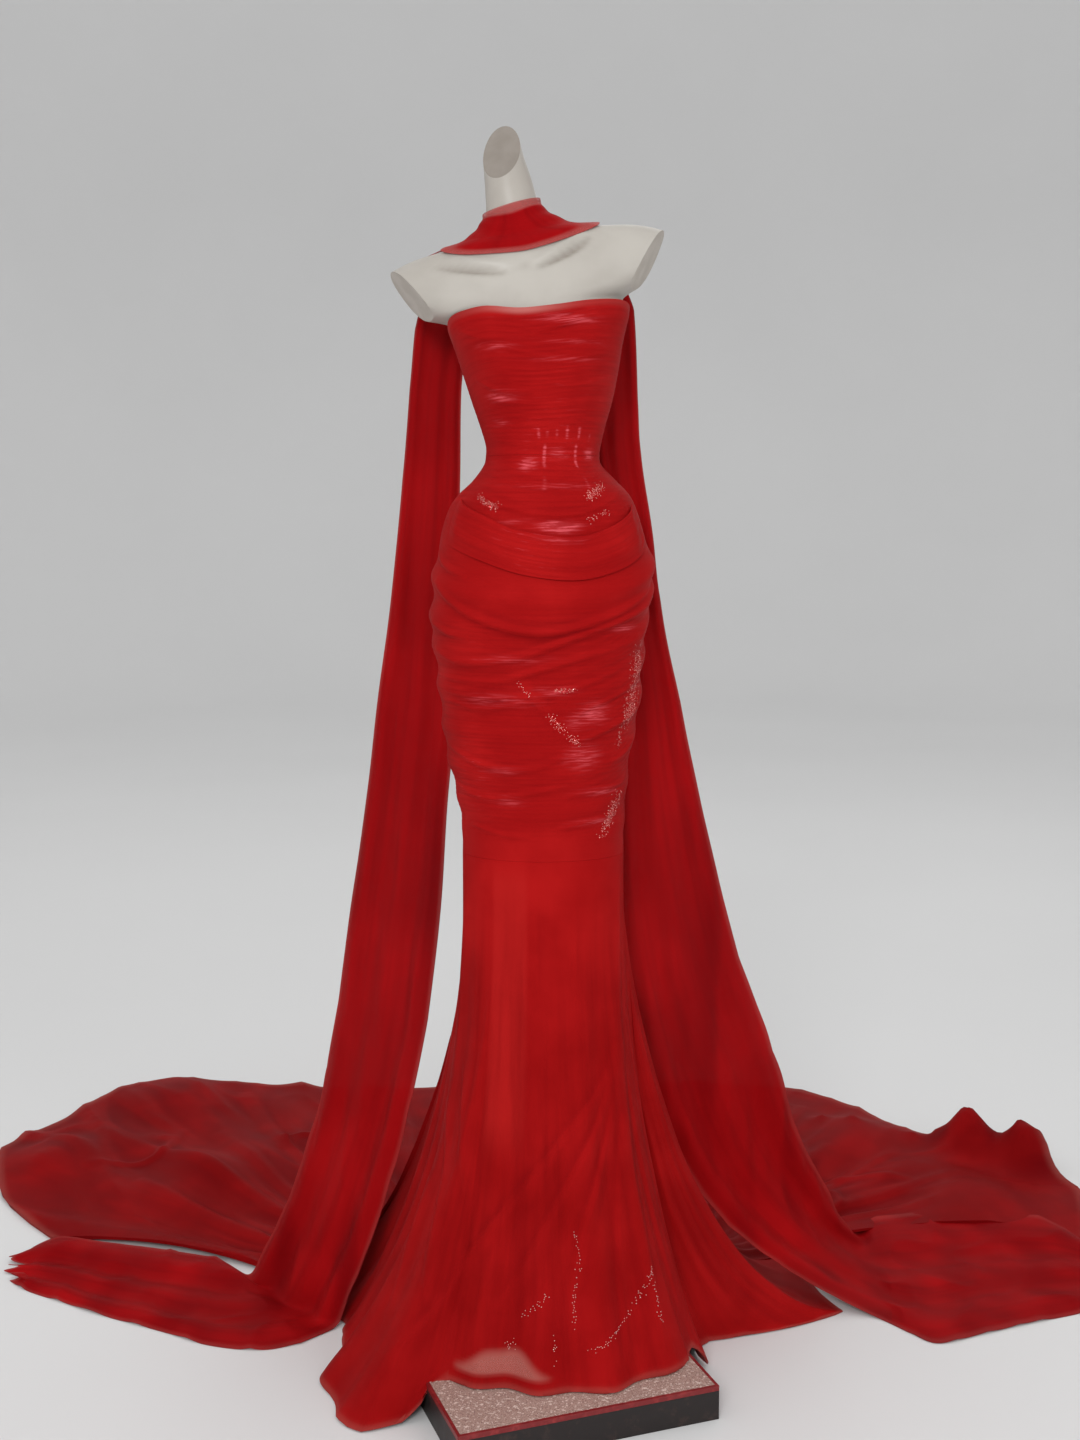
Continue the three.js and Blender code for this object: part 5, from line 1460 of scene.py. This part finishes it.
def torso_rings():
    """The torso's rings from its foot to above the neck, with the collarbones moulded in, and a painted
    shade mark for the hollows under them.
    """
    angles = tube_angles(COLUMNS["torso"])
    tilt = curve(TORSO_TILT, 1)

    def ring(v, inset):
        across = np.sin(np.radians(angles)) * girth["half"](v)
        return body(angles, v + across * np.tan(np.radians(tilt(v))), -inset)

    lower = [ring(TORSO_FOOT_Z, 34), ring(TORSO_FOOT_Z + 4, 22), ring(TORSO_FOOT_Z + 10, 14)]
    lower += [ring(v, FORM_INSET) for v in np.arange(965, 1676, 14.0)]
    heights = np.interp(np.arange(0, 17.01, 0.125), np.arange(18), SHOULDERS[:, 0])
    upper = np.stack([shoulder(angles, v) for v in heights])
    moulding = folds_on(upper, angles, heights, FORM_MOULDING, steep=1)
    upper += normals_of(upper) * moulding[..., None]
    # No painted shade on the lower rings; on the shoulders painted shade follows the hollows under the
    # collarbones.
    plain = np.zeros((len(lower), len(angles)))
    return np.concatenate([np.stack(lower), upper]), np.concatenate([plain, -moulding / 6])


def form(finish, neck_finish, stub_finish):
    """The form's torso: lofted, then cut on a slant at the neck and at the two arm stubs."""
    rings, painted_moulding_shade = torso_rings()
    rows, columns = rings.shape[:2]
    mesh = bmesh.new()
    # A painted shade mark at each point, darker under the collarbones.
    painted_shade = mesh.verts.layers.float.new("painted_shade")
    points = [mesh.verts.new(point) for point in (rings * MM).reshape(-1, 3)]
    for corner, depth in zip(points, np.clip(painted_moulding_shade, 0, 1).reshape(-1)):
        corner[painted_shade] = float(depth)
    for corners in ring_faces(rows, columns):
        mesh.faces.new([points[k] for k in corners])
    mesh.faces.new(points[columns - 1::-1])
    mesh.faces.new(points[-columns:])
    for slot, (point, normal) in ((1, NECK_CUT), (2, LEFT_STUB_CUT), (2, RIGHT_STUB_CUT)):
        everything = mesh.verts[:] + mesh.edges[:] + mesh.faces[:]
        made = bmesh.ops.bisect_plane(
            mesh, geom=everything, plane_co=Vector(point) * MM, plane_no=Vector(normal), clear_outer=True,
        )
        rim = [edge for edge in made["geom_cut"] if isinstance(edge, bmesh.types.BMEdge)]
        for flat in bmesh.ops.holes_fill(mesh, edges=rim, sides=0)["faces"]:
            flat.material_index = slot
    bmesh.ops.recalc_face_normals(mesh, faces=mesh.faces)
    data = bpy.data.meshes.new("form_shell")
    mesh.to_mesh(data)
    mesh.free()
    data.shade_smooth()
    data.set_sharp_from_angle(angle=math.radians(ROUNDED_CUT["angle"]))
    piece = link("form_shell", data)
    bevel = piece.modifiers.new("rounded_cuts", "BEVEL")
    bevel.width, bevel.segments = ROUNDED_CUT["width"], ROUNDED_CUT["segments"]
    bevel.limit_method, bevel.angle_limit = "ANGLE", math.radians(ROUNDED_CUT["angle"])
    slots = np.zeros(len(data.polygons), np.int32)
    data.polygons.foreach_get("material_index", slots)
    finish_piece(piece, finish, "form_gloss", "form_torso")
    data.materials.append(neck_finish)
    data.materials.append(stub_finish)
    data.polygons.foreach_set("material_index", slots)


# The studio

def backdrop():
    """A plain pale floor that turns up softly into a wall, all the way round and far off."""
    wall = FLOOR_RADIUS + WALL_BEND
    profile = [(0.001, 0), (3.0, 0), (6.0, 0), (FLOOR_RADIUS, 0)]
    for turn in np.linspace(0.1, math.pi / 2, 16):
        profile.append((FLOOR_RADIUS + WALL_BEND * math.sin(turn), WALL_BEND - WALL_BEND * math.cos(turn)))
    profile += [(wall, 6.5), (wall, 9.0)]
    around = np.radians(np.arange(0, 360, 3.0))
    points = [(r * math.sin(a), -r * math.cos(a), z - 0.0006) for r, z in profile for a in around]
    data = bpy.data.meshes.new("floor")
    data.from_pydata(points, [], ring_faces(len(profile), len(around)))
    data.shade_smooth()
    pale = Finish("studio_floor", Roughness=0.9, Specular_IOR_Level=0.0)
    pale.drive("Base Color", pale.colour_mix(pale.grain(0.7), rgb(216, 216, 216), rgb(221, 221, 221)))
    data.materials.append(pale.material)
    link("floor", data)


def studio():
    """Plain pale floor, soft light and the camera."""
    scene = bpy.context.scene
    scene.world = bpy.data.worlds.new("studio")
    scene.world.use_nodes = True
    background = scene.world.node_tree.nodes["Background"]
    background.inputs["Color"].default_value = (1.0, 1.0, 1.0, 1)
    background.inputs["Strength"].default_value = SKY_STRENGTH
    backdrop()
    for name, place, width, power in LIGHTS:
        lamp = bpy.data.lights.new(name, "AREA")
        lamp.shape, lamp.size, lamp.energy = "DISK", width, power
        light = link(name, lamp)
        light.location = place
        light.rotation_euler = (Vector(LIT_PLACE) - Vector(place)).to_track_quat("-Z", "Y").to_euler()
    eye = bpy.data.cameras.new("photograph")
    eye.lens, eye.sensor_width, eye.sensor_fit = CAMERA["lens"], CAMERA["sensor"], "AUTO"
    scene.camera = link("photograph", eye)
    scene.camera.location = CAMERA["place"]
    scene.camera.rotation_euler = (math.radians(90 + CAMERA["pitch"]), 0, 0)
    scene.view_settings.view_transform = "Standard"


def dress_the_frame():
    """Gives each carried-over CAD node its finish."""
    steel = pole_steel()
    finishes = {
        "form_pole": steel, "form_flange": steel, "plinth_board": board_paint(),
        "plinth_plate": plate_stone(), "plinth_trim": trim_paint(),
    }
    for name, finish in finishes.items():
        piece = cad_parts[name]
        piece.data.materials.clear()
        piece.data.materials.append(finish)


studio()
dress_the_frame()
# The neck's cut face is coloured darker than the stubs' cut faces: painted shade.
shaded_neck_face = form_cut("form_neck_cut", rgb(138, 130, 122), rgb(146, 138, 130))
stub_face = form_cut("form_stub_cut", rgb(182, 176, 167), rgb(192, 186, 178))
form(form_gloss(), shaded_neck_face, stub_face)
gathered = dress_tulle()
# The flare is coloured darker than the knee and the train darker still: painted shade of the light falling
# off towards the floor.
loose = flare_tulle("flare_tulle", rgb(146, 14, 15), rgb(163, 19, 20))
lying = flare_tulle("train_tulle", rgb(120, 10, 12), rgb(140, 14, 16))
sheer = scarf_tulle()
bodice(gathered)
skirt(gathered, sequin_glint())
cowl(gathered)
flare(loose, crystal_glint())
train(lying)
scarf_wrap(sheer)
scarf_ends(sheer)
